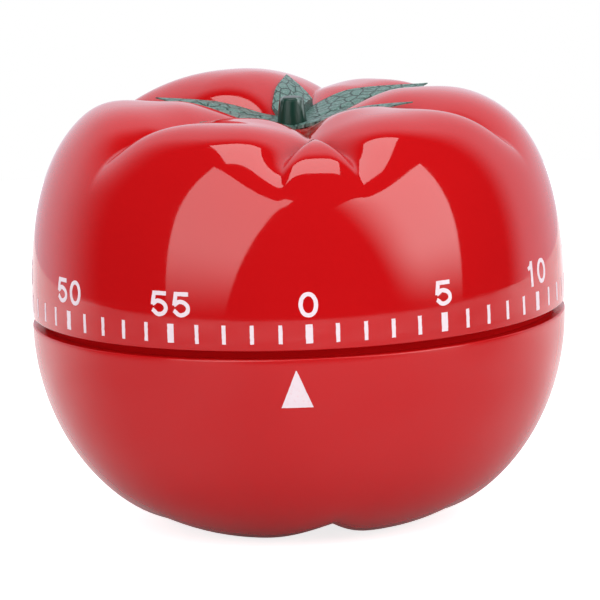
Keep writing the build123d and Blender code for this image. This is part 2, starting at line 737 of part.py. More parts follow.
def clutch_spring():
    """Coned spring washer that presses the main wheel on its flange."""
    bore = ARBOR_RADIUS + FIT_CLEARANCE
    return turned(
        [
            (CLUTCH_RADIUS, MAIN_WHEEL_TOP_Z),
            (CLUTCH_RADIUS, MAIN_WHEEL_TOP_Z + CLUTCH_THICKNESS),
            (bore, CAM_Z),
            (bore, CAM_Z - CLUTCH_THICKNESS),
        ]
    )


def spiral_edges(inner_radius, step, half_turns):
    """Half circle arcs of a spiral that grows by step every half turn."""
    edges = []
    for index in range(half_turns):
        radius = inner_radius + index * step
        centre = 0 if index % 2 == 0 else step
        side = 1 if index % 2 == 0 else -1
        edges.append(
            Edge.make_three_point_arc(
                Vector(centre + side * radius, 0),
                Vector(centre, side * radius),
                Vector(centre - side * radius, 0),
            )
        )
    return edges


def spiral_ribbon(inner_radius, thickness, pitch, half_turns, height):
    """Flat wound spring, its inner end on +X."""
    inner = spiral_edges(inner_radius, pitch / 2, half_turns)
    outer = spiral_edges(inner_radius + thickness, pitch / 2, half_turns)
    ends = [
        Edge.make_line(inner[0] @ 0, outer[0] @ 0),
        Edge.make_line(inner[-1] @ 1, outer[-1] @ 1),
    ]
    return Solid.extrude(Face(Wire(inner + outer + ends)), Vector(0, 0, height))


def spiral_reach(inner_radius, thickness, pitch, half_turns):
    """Outer radius of a spiral ribbon at its outer end."""
    return inner_radius + (half_turns - 1) * pitch / 2 + thickness


def mainspring():
    """Mainspring, wound round the collet and held by its post."""
    ribbon = spiral_ribbon(
        SPRING_COLLET_RADIUS + RUNNING_CLEARANCE,
        MAINSPRING_THICKNESS,
        MAINSPRING_PITCH,
        MAINSPRING_HALF_TURNS,
        SPRING_HEIGHT,
    )
    return Pos(0, 0, BACK_TOP_Z + SPRING_LEVEL) * Rot(0, 0, MAINSPRING_ANGLE) * ribbon


def hammer_spring(train):
    """Hairspring that holds the hammer off the bell."""
    ribbon = spiral_ribbon(
        HAMMER_ARBOR_RADIUS + RUNNING_CLEARANCE,
        HAMMER_SPRING_THICKNESS,
        HAMMER_SPRING_PITCH,
        HAMMER_SPRING_HALF_TURNS,
        HAMMER_SPRING_HEIGHT,
    )
    placed = Pos(train.hammer.X, train.hammer.Y, BACK_TOP_Z + SPRING_LEVEL)
    return placed * Rot(0, 0, HAMMER_SPRING_ANGLE) * ribbon


def spring_post_places(train):
    """Plan points of the posts that hold the springs' outer ends."""
    main_reach = SPRING_POST_RADIUS + RUNNING_CLEARANCE + spiral_reach(
        SPRING_COLLET_RADIUS + RUNNING_CLEARANCE,
        MAINSPRING_THICKNESS,
        MAINSPRING_PITCH,
        MAINSPRING_HALF_TURNS,
    )
    hammer_reach = SPRING_POST_RADIUS + RUNNING_CLEARANCE + spiral_reach(
        HAMMER_ARBOR_RADIUS + RUNNING_CLEARANCE,
        HAMMER_SPRING_THICKNESS,
        HAMMER_SPRING_PITCH,
        HAMMER_SPRING_HALF_TURNS,
    )
    return [
        polar(main_reach, MAINSPRING_ANGLE + 180),
        train.hammer + polar(hammer_reach, HAMMER_SPRING_ANGLE + 180),
    ]


def spring_posts(train):
    """Riveted posts of the two springs."""
    posts = []
    for place, height in zip(spring_post_places(train), (SPRING_HEIGHT, HAMMER_SPRING_HEIGHT)):
        post = cylinder(SPRING_POST_RADIUS, BACK_TOP_Z, SPRING_LEVEL + height, place)
        posts.append(post + cylinder(SPRING_POST_RADIUS / 2, BACK_BASE_Z, PLATE_THICKNESS, place))
    return Compound(children=posts)


def strike_cam():
    """Snail cam that lifts the hammer's tail and lets it drop at zero."""
    start, end = spiral_edges(CAM_RADIUS, CAM_RISE / 2, 2)
    step = Edge.make_line(end @ 1, start @ 0)
    snail = Solid.extrude(Face(Wire([start, end, step])), Vector(0, 0, CAM_THICKNESS))
    return Pos(0, 0, CAM_Z) * (snail - cylinder(ARBOR_RADIUS + FIT_CLEARANCE, 0, CAM_THICKNESS))


def arbor_clip():
    """Open spring clip over the cam."""
    outer = ARBOR_RADIUS + FIT_CLEARANCE + CLIP_WIDTH
    clip = ring(outer, ARBOR_RADIUS + FIT_CLEARANCE, CAM_TOP_Z, CLIP_THICKNESS)
    half = radians(CLIP_OPENING / 2)
    reach = 2 * outer
    wedge = Polyline(
        (0, 0, CAM_TOP_Z),
        (reach * cos(half), -reach * sin(half), CAM_TOP_Z),
        (reach * cos(half), reach * sin(half), CAM_TOP_Z),
        close=True,
    )
    return clip - extrude(make_face(wedge), CLIP_THICKNESS, dir=(0, 0, 1))


def stop_pin_angle():
    """Angle at the centre between the stop stud and the pin that rests against it."""
    apart = STOP_STUD_RADIUS + STOP_PIN_RADIUS + RUNNING_CLEARANCE
    return 2 * degrees(asin(apart / 2 / STOP_CIRCLE))


def stop_pin():
    """Pin in the main wheel that meets the stop stud at either end of the dial's turn."""
    place = polar(STOP_CIRCLE, STOP_ANGLE - stop_pin_angle())
    return cylinder(STOP_PIN_RADIUS, MAIN_WHEEL_Z, MAIN_WHEEL_THICKNESS + STOP_PIN_RISE, place)


def main_wheel(train):
    """Great wheel, drilled for the stop pin."""
    bore = ARBOR_RADIUS + FIT_CLEARANCE
    great_wheel = wheel(
        MAIN_TEETH, MAIN_MODULE, MAIN_WHEEL_THICKNESS, bore, MAIN_WHEEL_Z, train.main, train.second
    )
    place = polar(STOP_CIRCLE, STOP_ANGLE - stop_pin_angle())
    hole = cylinder(STOP_PIN_RADIUS + FIT_CLEARANCE, MAIN_WHEEL_Z, MAIN_WHEEL_THICKNESS, place)
    return great_wheel - hole


# Striking work


def hammer_head_place():
    """Plan point of the hammer head, inside the bell's rim."""
    reach = BELL_RADIUS - BELL_THICKNESS - HAMMER_HEAD_GAP - HAMMER_HEAD_RADIUS
    return Vector(BELL_PLACE) + polar(reach, HAMMER_HEAD_ANGLE)


def hammer_arm_z():
    """Underside of the hammer arm, under the back plate."""
    return BACK_BASE_Z - SCREW_HEAD_HEIGHT - HAMMER_ARM_THICKNESS


def hammer_arbor(train):
    """Hammer arbor, running through the back plate to carry the arm."""
    base_z = hammer_arm_z()
    rod = cylinder(HAMMER_ARBOR_RADIUS, base_z, FRONT_BASE_Z - END_SHAKE - base_z, train.hammer)
    return rod + cylinder(PIVOT_RADIUS, FRONT_BASE_Z - END_SHAKE, PLATE_THICKNESS + END_SHAKE, train.hammer)


def hammer_tail(train):
    """Lifting tail, square to the line from the cam's centre to its nose."""
    nose_reach = CAM_RADIUS + CAM_RISE + TAIL_CLEARANCE + TAIL_NOSE_RADIUS
    nose = polar(nose_reach, HAMMER_ANGLE - degrees(acos(nose_reach / HAMMER_REACH)))
    tail = bar(train.hammer, nose, TAIL_WIDTH, CAM_Z, CAM_THICKNESS)
    tail += cylinder(HAMMER_ARBOR_RADIUS + HUB_WALL, CAM_Z, CAM_THICKNESS, train.hammer)
    tail += cylinder(TAIL_NOSE_RADIUS, CAM_Z, CAM_THICKNESS, nose)
    return tail - cylinder(HAMMER_ARBOR_RADIUS + FIT_CLEARANCE, CAM_Z, CAM_THICKNESS, train.hammer)


def hammer_arm(train):
    """Arm under the back plate, from the arbor to the head."""
    base_z = hammer_arm_z()
    head = hammer_head_place()
    arm = bar(train.hammer, head, HAMMER_ARM_WIDTH, base_z, HAMMER_ARM_THICKNESS)
    arm += cylinder(HAMMER_ARBOR_RADIUS + HUB_WALL, base_z, HAMMER_ARM_THICKNESS, train.hammer)
    bore = HAMMER_ARBOR_RADIUS + FIT_CLEARANCE
    return arm - cylinder(bore, base_z, HAMMER_ARM_THICKNESS, train.hammer)


def hammer_head():
    """Brass head under the end of the arm, level with the bell's upright wall."""
    base_z = BELL_BASE_Z + BELL_CORNER + BELL_CLEARANCE
    return cylinder(HAMMER_HEAD_RADIUS, base_z, hammer_arm_z() - base_z, hammer_head_place())


def bell():
    """Pressed steel bell cup, mouth up."""
    inner_corner = BELL_CORNER - BELL_THICKNESS
    inner_radius = BELL_RADIUS - BELL_THICKNESS
    floor_z = BELL_BASE_Z + BELL_THICKNESS
    bore = BELL_SCREW_RADIUS + FIT_CLEARANCE
    diagonal = 1 - sqrt(0.5)
    outline = [
        Line((bore, 0, BELL_BASE_Z), (BELL_RADIUS - BELL_CORNER, 0, BELL_BASE_Z)),
        ThreePointArc(
            (BELL_RADIUS - BELL_CORNER, 0, BELL_BASE_Z),
            (BELL_RADIUS - diagonal * BELL_CORNER, 0, BELL_BASE_Z + diagonal * BELL_CORNER),
            (BELL_RADIUS, 0, BELL_BASE_Z + BELL_CORNER),
        ),
        Polyline(
            (BELL_RADIUS, 0, BELL_BASE_Z + BELL_CORNER),
            (BELL_RADIUS, 0, BELL_TOP_Z),
            (inner_radius, 0, BELL_TOP_Z),
            (inner_radius, 0, floor_z + inner_corner),
        ),
        ThreePointArc(
            (inner_radius, 0, floor_z + inner_corner),
            (inner_radius - diagonal * inner_corner, 0, floor_z + diagonal * inner_corner),
            (inner_radius - inner_corner, 0, floor_z),
        ),
        Polyline(
            (inner_radius - inner_corner, 0, floor_z),
            (bore, 0, floor_z),
            (bore, 0, BELL_BASE_Z),
        ),
    ]
    cup = revolve(make_face(Curve() + outline), Axis.Z)
    return Pos(BELL_PLACE[0], BELL_PLACE[1], 0) * cup


def bell_post():
    """Shouldered post, riveted in the back plate and threaded for the bell's nut."""
    floor_z = BELL_BASE_Z + BELL_THICKNESS
    post = cylinder(BELL_POST_RADIUS, floor_z, BACK_BASE_Z - floor_z, BELL_PLACE)
    tip_z = BELL_BASE_Z - BELL_NUT_HEIGHT
    return post + cylinder(BELL_SCREW_RADIUS, tip_z, BACK_TOP_Z - tip_z, BELL_PLACE)


def bell_nut():
    """Hexagon nut under the bell."""
    base_z = BELL_BASE_Z - BELL_NUT_HEIGHT
    place = Pos(BELL_PLACE[0], BELL_PLACE[1], base_z)
    blank = place * extrude(RegularPolygon(BELL_NUT_RADIUS, 6), BELL_NUT_HEIGHT)
    return blank - cylinder(BELL_SCREW_RADIUS + FIT_CLEARANCE, base_z, BELL_NUT_HEIGHT, BELL_PLACE)


# Calyx


def leaf(azimuth, share, rise):
    """Pointed leaf, swelling from its root and tapering to its raised tip, cut from a thin dish."""
    reach = share * LEAF_LENGTH
    half = LEAF_WIDTH / 2
    root = LEAF_ROOT_WIDTH / 2
    belly = 0.38 * reach
    right = Spline((root, 0), (half, -belly), (0, -reach))
    left = Spline((0, -reach), (-half, -belly), (-root, 0))
    base = Line((-root, 0), (root, 0))
    outline = make_face(Curve() + [right, left, base])
    blank = Pos(0, 0, CRATER_Z) * extrude(outline, CRATER_DEPTH)
    steps = 6
    under = []
    for step in range(steps + 1):
        away = 1.1 * step / steps
        height = CRATER_Z + LEAF_LIFT + rise * (1.5 * away - 0.5 * away**2)
        under.append((reach * away, 0, height))
    over = [(r, 0, z + LEAF_THICKNESS) for r, _, z in under]
    section = [
        Spline(*under),
        Line(under[-1], over[-1]),
        Spline(*over),
        Line(over[0], under[0]),
    ]
    dish = revolve(make_face(Curve() + section), Axis.Z)
    return Rot(0, 0, azimuth) * (blank & dish)


def calyx(cap):
    """Five leaves, stub stem and the peg that is glued in the hub."""
    stem_z = CRATER_Z + LEAF_LIFT
    stem = Pos(0, 0, stem_z) * Cone(
        STEM_BASE_RADIUS,
        STEM_TOP_RADIUS,
        LEAF_THICKNESS + STEM_HEIGHT,
        align=(Align.CENTER, Align.CENTER, Align.MIN),
    )
    stem = fillet(stem.edges().sort_by(Axis.Z)[-1], STEM_TOP_RADIUS / 2)
    peg = cylinder(PEG_RADIUS, HUB_TOP_Z - PEG_LENGTH, stem_z - HUB_TOP_Z + PEG_LENGTH + LEAF_THICKNESS)
    moulding = stem + peg
    for azimuth, share, rise in CALYX_LEAVES:
        moulding += leaf(azimuth, share, rise)
    return moulding - cap


def deck_screws():
    """Three screws that hold the deck in the lower shell."""
    places = [polar(DECK_SCREW_CIRCLE, angle) for angle in DECK_SCREW_ANGLES]
    screws = [screw(DECK_SCREW_RADIUS, DECK_TOP_Z, DECK_SCREW_LENGTH, place) for place in places]
    return Compound(children=screws)


def movement_screws():
    """Three screws from the deck through the front plate into the pillars."""
    length = DECK_TOP_Z - FRONT_BASE_Z + PILLAR_SCREW_DEPTH
    screws = [screw(PILLAR_SCREW_RADIUS, DECK_TOP_Z, length, place) for place in pillar_places()]
    return Compound(children=screws)


def back_plate_screws():
    """Three screws from below through the back plate into the pillars."""
    length = PLATE_THICKNESS + PILLAR_SCREW_DEPTH
    screws = []
    for place in pillar_places():
        screws.append(screw(PILLAR_SCREW_RADIUS, BACK_BASE_Z, length, place, head_down=True))
    return Compound(children=screws)


def build():
    """Every node by name."""
    train = Train()
    second_z = BACK_TOP_Z + SECOND_WHEEL_LEVEL
    third_z = BACK_TOP_Z + THIRD_WHEEL_LEVEL
    second_bore = pinion_root(MAIN_TEETH, MAIN_MODULE) + FIT_CLEARANCE
    third_bore = pinion_root(SECOND_TEETH, SECOND_MODULE) + FIT_CLEARANCE
    cap = upper_shell()
    return {
        "upper_shell": cap,
        "calyx": calyx(cap),
        "lower_shell": lower_shell(),
        "deck_plate": deck_plate(),
        "deck_screws": deck_screws(),
        "front_plate": front_plate(train),
        "back_plate": back_plate(train),
        "pillars": Compound(children=[pillar(place) for place in pillar_places()]),
        "movement_screws": movement_screws(),
        "back_plate_screws": back_plate_screws(),
        "arbor_bush": arbor_bush(),
        "stop_stud": stop_stud(),
        "main_arbor": main_arbor(),
        "main_wheel": main_wheel(train),
        "stop_pin": stop_pin(),
        "clutch_spring": clutch_spring(),
        "strike_cam": strike_cam(),
        "arbor_clip": arbor_clip(),
        "mainspring": mainspring(),
        "spring_posts": spring_posts(train),
        "second_arbor": pinion_arbor(
            MAIN_TEETH, MAIN_MODULE, MAIN_WHEEL_Z, MAIN_WHEEL_THICKNESS, train.second, train.main
        ),
        "second_wheel": wheel(
            SECOND_TEETH, SECOND_MODULE, WHEEL_THICKNESS, second_bore, second_z, train.second, train.third
        ),
        "third_arbor": pinion_arbor(
            SECOND_TEETH, SECOND_MODULE, second_z, WHEEL_THICKNESS, train.third, train.second
        ),
        "third_wheel": wheel(
            THIRD_TEETH, THIRD_MODULE, WHEEL_THICKNESS, third_bore, third_z, train.third, train.escape
        ),
        "escape_arbor": pinion_arbor(
            THIRD_TEETH, THIRD_MODULE, third_z, WHEEL_THICKNESS, train.escape, train.third
        ),
        "escape_wheel": escape_wheel(train),
        "pallet_arbor": arbor_rod(PALLET_ARBOR_RADIUS, train.pallet),
        "pallet_anchor": pallet_anchor(train),
        "pallet_pins": pallet_pins(train),
        "balance_bar": balance_bar(train),
        "hammer_arbor": hammer_arbor(train),
        "hammer_tail": hammer_tail(train),
        "hammer_arm": hammer_arm(train),
        "hammer_head": hammer_head(),
        "hammer_spring": hammer_spring(train),
        "bell": bell(),
        "bell_post": bell_post(),
        "bell_nut": bell_nut(),
    }


def main():
    """Write one STEP file per node."""
    os.makedirs("parts", exist_ok=True)
    for name, solid in build().items():
        export_step(solid, f"parts/{name}.step")


if __name__ == "__main__":
    main()
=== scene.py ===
"""Looks of a tomato shaped kitchen timer: housing, leaves, printing, movement finishes and studio."""
import json
from math import atan2, cos, degrees, pi, radians, sin
from typing import NamedTuple

import bmesh
import bpy
from bpy.props import FloatProperty, FloatVectorProperty, IntProperty, PointerProperty
from mathutils import Matrix, Vector, noise


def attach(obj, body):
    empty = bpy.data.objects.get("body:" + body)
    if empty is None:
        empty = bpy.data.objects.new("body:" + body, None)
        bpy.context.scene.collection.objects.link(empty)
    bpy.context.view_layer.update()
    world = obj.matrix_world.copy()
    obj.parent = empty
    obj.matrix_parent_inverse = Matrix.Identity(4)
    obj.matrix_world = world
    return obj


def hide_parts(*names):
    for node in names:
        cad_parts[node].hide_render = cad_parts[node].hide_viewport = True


bl_info = {
    "name": "Tomato kitchen timer",
    "version": (1, 0, 0),
    "blender": (4, 5, 0),
    "location": "3D View > Sidebar > Timer",
    "description": "Housing, leaves, printing and studio of a mechanical kitchen timer",
    "category": "Add Mesh",
}

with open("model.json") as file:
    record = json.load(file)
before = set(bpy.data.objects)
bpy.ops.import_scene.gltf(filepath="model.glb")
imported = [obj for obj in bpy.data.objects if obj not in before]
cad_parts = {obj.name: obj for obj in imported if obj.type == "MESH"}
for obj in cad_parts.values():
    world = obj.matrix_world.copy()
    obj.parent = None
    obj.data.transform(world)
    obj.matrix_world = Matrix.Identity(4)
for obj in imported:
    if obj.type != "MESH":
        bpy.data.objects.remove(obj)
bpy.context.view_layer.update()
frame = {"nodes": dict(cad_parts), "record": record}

MM = 0.001

# Points closer together than this are merged
MERGE = 0.0005 * MM
# Power of the upper shell's outline: 2 gives an ellipse, and more makes it fuller
UPPER_POWER = 2.6
# Radius of the flat floor in the hollows on top of and under the timer
HOLLOW_FLOOR = 3 * MM
# One unit of the leaves' UV map
LEAF_UNIT = 10 * MM
# Minutes of the dial, minutes from one number to the next, and the turn of a minute in degrees
MINUTES = 60
NUMBER_STEP = 5
MINUTE_TURN = 360 / MINUTES
# Seed of the noise that the ink's edges creep by, without which every run would differ
INK_SEED = 7
# Share of a lamp's side over which its light comes up: so short that it doesn't show
NO_FADE = 0.001
SENSOR_MM = 36
# Sockets of a Mix node that mixes colours: its two inputs and its output
MIX_A, MIX_B, MIX_OUT = 6, 7, 2


class Lobe(NamedTuple):
    """A lobe of a shell, from the crease before it to the crease of the next lobe."""

    # Azimuth of the crease from the front at its lower and upper end, in degrees, and its depth in mm
    low: float
    top: float
    depth: float
    # How far the lobe is sunk, in mm, and the angle of the outline from which it is, in degrees
    sunk: float
    sink_start: float


# The first two creases run together at the top
UPPER_LOBES = (
    Lobe(-3.5, 7.5, 4.6, 4.2, 30),
    Lobe(15.8, 7.5, 4.6, 1.6, 50),
    Lobe(70.0, 70.0, 3.8, 1.4, 28),
    Lobe(130.0, 130.0, 4.3, 2.1, 36),
    Lobe(168.0, 168.0, 3.0, 0.0, 60),
    Lobe(243.0, 243.0, 4.0, 1.6, 56),
    Lobe(305.0, 305.0, 3.7, 2.1, 50),
)
LOWER_LOBES = (
    Lobe(10.0, 10.0, 2.5, 0.3, 50),
    Lobe(62.0, 62.0, 1.4, 0.0, 50),
    Lobe(122.0, 122.0, 1.7, 0.0, 50),
    Lobe(185.0, 185.0, 1.7, 0.0, 50),
    Lobe(243.0, 243.0, 1.7, 0.0, 50),
    Lobe(297.0, 297.0, 1.7, 0.0, 50),
)


class Leaf(NamedTuple):
    """A leaf of the calyx, in mm, with its azimuth in degrees from the front."""

    azimuth: float
    length: float
    # Height of the tip over the stem's foot
    rise: float
    width: float
    # Sideways slope, and how far the tip bends sideways
    lean: float
    bend: float


LEAVES = (
    Leaf(70.0, 15.6, 3.3, 5.4, 0.1, 0.0),
    Leaf(128.0, 21.4, 2.9, 8.8, 0.3, 0.0),
    Leaf(170.0, 13.8, 4.5, 5.8, 0.35, 3.0),
    Leaf(246.0, 18.2, 3.1, 6.2, -0.15, 0.0),
    Leaf(305.0, 13.6, 2.1, 5.6, 0.0, 0.0),
)


class Station(NamedTuple):
    """A point of a shell's outer line."""

    radius: float
    height: float
    # Angle on the outline, from 0 at the seam to 90 where the shell is highest or lowest
    angle: float = 0.0
    # Shares of the creases' depth, of their way from lower to upper end, and of the lobes' sinking
    crease: float = 0.0
    slide: float = 0.0
    inner: float = 1.0


# Strokes of the digits: whether a stroke is closed, and its centre line in parts of the digit's height from
# its baseline and middle
DIGITS = {
    "0": ((True, (0.0, 0.903), (0.293, 0.5), (0.0, 0.097), (-0.293, 0.5)),),
    "1": (
        (False, (-0.17, 0.715), (0.0, 0.8), (0.1, 0.96)),
        (False, (0.1, 1.0), (0.1, 0.0)),
    ),
    "2": (
        (False, (-0.3, 0.66), (-0.02, 0.903), (0.28, 0.66), (0.0, 0.33), (-0.29, 0.1)),
        (False, (-0.33, 0.097), (0.32, 0.097)),
    ),
    "3": (
        (False, (-0.29, 0.7), (-0.01, 0.903), (0.25, 0.715), (-0.05, 0.53)),
        (False, (-0.07, 0.53), (0.29, 0.3), (0.0, 0.095), (-0.31, 0.28)),
    ),
    "4": (
        (False, (0.13, 1.0), (0.13, 0.0)),
        (False, (0.1, 0.96), (-0.31, 0.33)),
        (False, (-0.36, 0.3), (0.36, 0.3)),
    ),
    "5": (
        (False, (-0.25, 0.903), (0.3, 0.903)),
        (False, (-0.21, 0.97), (-0.295, 0.45)),
        (False, (-0.3, 0.475), (-0.02, 0.61), (0.29, 0.34), (-0.01, 0.097), (-0.31, 0.27)),
    ),
}


def linear(code):
    """Linear colour of an sRGB hex code."""
    parts = [int(code[i : i + 2], 16) / 255 for i in (0, 2, 4)]
    return [c / 12.92 if c <= 0.04045 else ((c + 0.055) / 1.055) ** 2.4 for c in parts] + [1.0]


def length(name, value, text):
    """A size in mm as a Blender length."""
    return FloatProperty(name=name, description=text, default=value * MM, unit="LENGTH", subtype="DISTANCE")


def rotation(name, value, text):
    """An angle in degrees as a Blender angle."""
    return FloatProperty(name=name, description=text, default=radians(value), subtype="ANGLE")


def wattage(name, value, text):
    """The power of a lamp."""
    return FloatProperty(name=name, description=text, default=value, unit="POWER")


def colour(name, code, text):
    """A colour given as an sRGB hex code."""
    return FloatVectorProperty(
        name=name, description=text, default=linear(code), size=4, min=0, max=1, subtype="COLOR"
    )


class HousingSizes(bpy.types.PropertyGroup):
    """Sizes of the two shells."""

    body_radius: length("Body radius", 32.5, "Radius of both shells at the seam")
    wall: length("Wall", 2.0, "Thickness of the moulded walls")
    rim: length("Rim", 25.3, "Height of the lower shell's rim over the table")
    skirt: length("Skirt", 26.3, "Height of the upper shell's lower edge")
    edge: length("Edge", 0.22, "Rounding of the edges at the seam")
    upper_height: length("Upper height", 27.1, "Height of the upper shell over its skirt")
    upper_crest: length("Upper crest", 14.5, "Radius of the circle where the upper shell is highest")
    crater_depth: length("Crater", 5.1, "Depth of the hollow that the leaves sit in")
    lower_crest: length("Foot circle", 11.0, "Radius of the circle that the timer stands on")
    foot_flat: length("Foot flat", 0.25, "Depth of the flats under the lobes")
    dimple_depth: length("Dimple", 2.4, "Depth of the hollow under the timer")
    lip_radius: length("Lip radius", 31.0, "Radius of the deck's lip inside the seam")
    columns: IntProperty(name="Columns", description="Mesh columns round each shell", default=720, min=72)


class CalyxSizes(bpy.types.PropertyGroup):
    """Sizes of the leaves and the stem."""

    hub: length("Hub", 3.1, "Radius of the round middle that the leaves grow from")
    thickness: length("Thickness", 0.4, "Thickness of the leaves at the hub")
    tip_thickness: length("Tip thickness", 0.15, "Thickness of the leaves' outer parts")
    foot: length("Foot", 48.4, "Height of the stem's foot, on the leaves' upper face")
    root: length("Root", 0.9, "How far the stem reaches down through the leaves")
    stem_base: length("Stem base", 1.95, "Radius of the stem at its lower end")
    stem_top: length("Stem top", 1.45, "Radius of the stem at its top")
    stem_height: length("Stem height", 3.5, "Height of the stem over the leaves")
    stem_round: length("Stem rounding", 0.5, "Rounding of the edge of the stem's top")


class PrintSizes(bpy.types.PropertyGroup):
    """Sizes of the printed scale and pointer."""

    stroke_height: length("Stroke height", 2.25, "Height of the minute strokes")
    stroke_width: length("Minute width", 0.47, "Width of a minute stroke")
    five_width: length("Five minute width", 0.85, "Width of a five minute stroke")
    stroke_level: length("Stroke level", 28.3, "Height of the middle of the strokes")
    digit_height: length("Digit height", 3.12, "Height of the digits")
    digit_stroke: length("Digit stroke", 0.5, "Line width of the digits")
    digit_advance: length("Digit advance", 2.95, "Distance between the digits of a number")
    digit_level: length("Digit level", 30.2, "Height of the digits' baseline")
    pointer_apex: length("Pointer apex", 23.9, "Height of the pointer's tip")
    pointer_base: length("Pointer base", 19.4, "Height of the pointer's base")
    pointer_width: length("Pointer width", 3.8, "Width of the pointer's base")
    pointer_tip: length("Pointer tip", 0.12, "Width of the pointer's tip")
    ink: length("Ink", 0.03, "Height of the printed ink over the wall")
    stroke_creep: length("Stroke creep", 0.05, "How far the ink creeps at the edges of the strokes")
    fine_creep: length("Fine creep", 0.03, "How far the ink creeps at the edges of digits and pointer")
    pointer_turn: rotation("Pointer turn", -0.97, "Turn of the pointer from the front")
    zero: rotation("Zero", 2.02, "Turn of the 0 mark from the front")


class FinishColours(bpy.types.PropertyGroup):
    """Colours of the finishes."""

    red: colour("Red", "C40F12", "Upper and lower shell")
    deep_red: colour("Deep red", "BC0B0F", "Slow tone change in the red")
    ink: colour("Ink", "EDDDE2", "Printed scale and pointer")
    thin_ink: colour("Thin ink", "E8A8AE", "Spots of the ink where the red shows through")
    leaf: colour("Leaf", "587E74", "Leaves")
    vein: colour("Vein", "1A302B", "Cracks between the plates of a leaf")
    # Pale of the rubbed spots and streaks, which also paint highlights on the leaves and stem
    worn: colour("Worn", "A3BAB5", "Rubbed high spots of leaves and stem")
    stem: colour("Stem", "0F382D", "Stem")
    brass: colour("Brass", "D3AE5E", "Wheels and plates of the movement")
    steel: colour("Steel", "B9BBBD", "Arbors, pillars and screws")
    blued: colour("Blued steel", "4A5468", "Springs")
    nickel: colour("Nickel", "D8D4CB", "Bell")
    table: colour("Table", "E4E4E4", "Table top")
    table_cloud: colour("Table cloud", "E2E2E2", "Slow tone change in the table top")
    # Painted shade: the table top's colour as reflections show it, darker than its own
    table_mirrored: colour("Mirrored table", "767676", "Table top as reflections show it")


class StudioSettings(bpy.types.PropertyGroup):
    """Camera, floor and lamps."""

    distance: length("Distance", 895.7, "Distance of the camera from the middle of the scale")
    elevation: rotation("Elevation", 9.69, "Camera over the horizon")
    roll: rotation("Roll", 2.012, "Clockwise turn of the camera")
    lens: FloatProperty(name="Lens", description="Focal length in mm on a 36 mm sensor", default=440.1)
    aim_right: length("Aim right", 0.24, "Aim point right of the scale's middle")
    aim_down: length("Aim down", 1.49, "Aim point below the scale's middle")
    left_lamp: wattage("Left lamp", 2.4, "Power of the left softbox")
    right_lamp: wattage("Right lamp", 3.7, "Power of the right softbox")
    top_lamp: wattage("Top lamp", 2.6, "Power of the overhead softbox")
    surround: FloatProperty(name="Surround", description="Strength of the white surround", default=0.92)
    room: FloatProperty(name="Room", description="Strength of the dark room behind the camera", default=0.03)
    fill: FloatProperty(name="Fill", description="Soft fill that only matt reflection shows", default=0.24)
    table: length("Table", 280.0, "Radius of the round table top")
    table_gap: length("Table gap", 0.02, "Depth of the table top under the feet, to keep their faces apart")


def add_node(tree, kind, inputs=None, **settings):
    """Adds a node with its settings, and sets or links its inputs.

    A node that is given as an input stands for its first output.
    """
    made = tree.nodes.new("ShaderNode" + kind)
    for name, value in settings.items():
        setattr(made, name, value)
    for name, value in (inputs or {}).items():
        if isinstance(value, bpy.types.Node):
            value = value.outputs[0]
        if isinstance(value, bpy.types.NodeSocket):
            tree.links.new(value, made.inputs[name])
        else:
            made.inputs[name].default_value = value
    return made


def empty_finish(name):
    """A new material and its empty node tree."""
    finish = bpy.data.materials.new(name)
    finish.use_nodes = True
    finish.node_tree.nodes.clear()
    return finish, finish.node_tree


def per_mm(size):
    """Texture scale that makes one feature about this many mm long."""
    return 1 / (size * MM)


def red_tone(tree, place):
    """The red of the ABS, which changes slowly over some 18 mm: its noise and its colour."""
    tones = bpy.context.scene.timer_colours
    cloud = add_node(tree, "TexNoise", {"Vector": place, "Scale": per_mm(18), "Detail": 2.0})
    tone = add_node(tree, "Mix", {0: cloud, MIX_A: tones.deep_red, MIX_B: tones.red}, data_type="RGBA")
    return cloud, tone.outputs[MIX_OUT]


def glossy_abs():
    """Red ABS from a polished mould: sharp reflections, faint drawn lines round the axis."""
    finish, tree = empty_finish("glossy_red_abs")
    place = add_node(tree, "TexCoord").outputs["Object"]
    tone = red_tone(tree, place)[1]
    flat = add_node(tree, "Mapping", {"Vector": place, "Scale": (per_mm(25), per_mm(25), per_mm(0.5))})
    lines = add_node(tree, "TexNoise", {"Vector": flat, "Scale": 1.0, "Detail": 3.0})
    spread = {"From Min": 0.3, "From Max": 0.7, "To Min": 0.03, "To Max": 0.075}
    haze = add_node(tree, "MapRange", {0: lines, **spread})
    peel = add_node(tree, "TexNoise", {"Vector": place, "Scale": per_mm(3.0), "Detail": 1.0})
    bump = add_node(tree, "Bump", {"Height": peel, "Strength": 0.03, "Distance": 0.1 * MM})
    looks = {"Base Color": tone, "Roughness": haze, "IOR": 1.6, "Normal": bump}
    add_node(tree, "OutputMaterial", {"Surface": add_node(tree, "BsdfPrincipled", looks)})
    return finish


def satin_abs(name, low, high, bend):
    """Red ABS from a finely etched mould: the same red, with soft broad reflections.

    Its roughness wanders between two values, and bend is its IOR.
    """
    finish, tree = empty_finish(name)
    place = add_node(tree, "TexCoord").outputs["Object"]
    cloud, tone = red_tone(tree, place)
    spread = {"From Min": 0.3, "From Max": 0.7, "To Min": low, "To Max": high}
    haze = add_node(tree, "MapRange", {0: cloud, **spread})
    # The etched grain is finer than 0.1 mm and is drawn at 0.5 mm so that it shows
    grain = add_node(tree, "TexNoise", {"Vector": place, "Scale": per_mm(0.5), "Detail": 3.0})
    bump = add_node(tree, "Bump", {"Height": grain, "Strength": 0.05, "Distance": 0.05 * MM})
    looks = {"Base Color": tone, "Roughness": haze, "IOR": bend, "Normal": bump}
    add_node(tree, "OutputMaterial", {"Surface": add_node(tree, "BsdfPrincipled", looks)})
    return finish


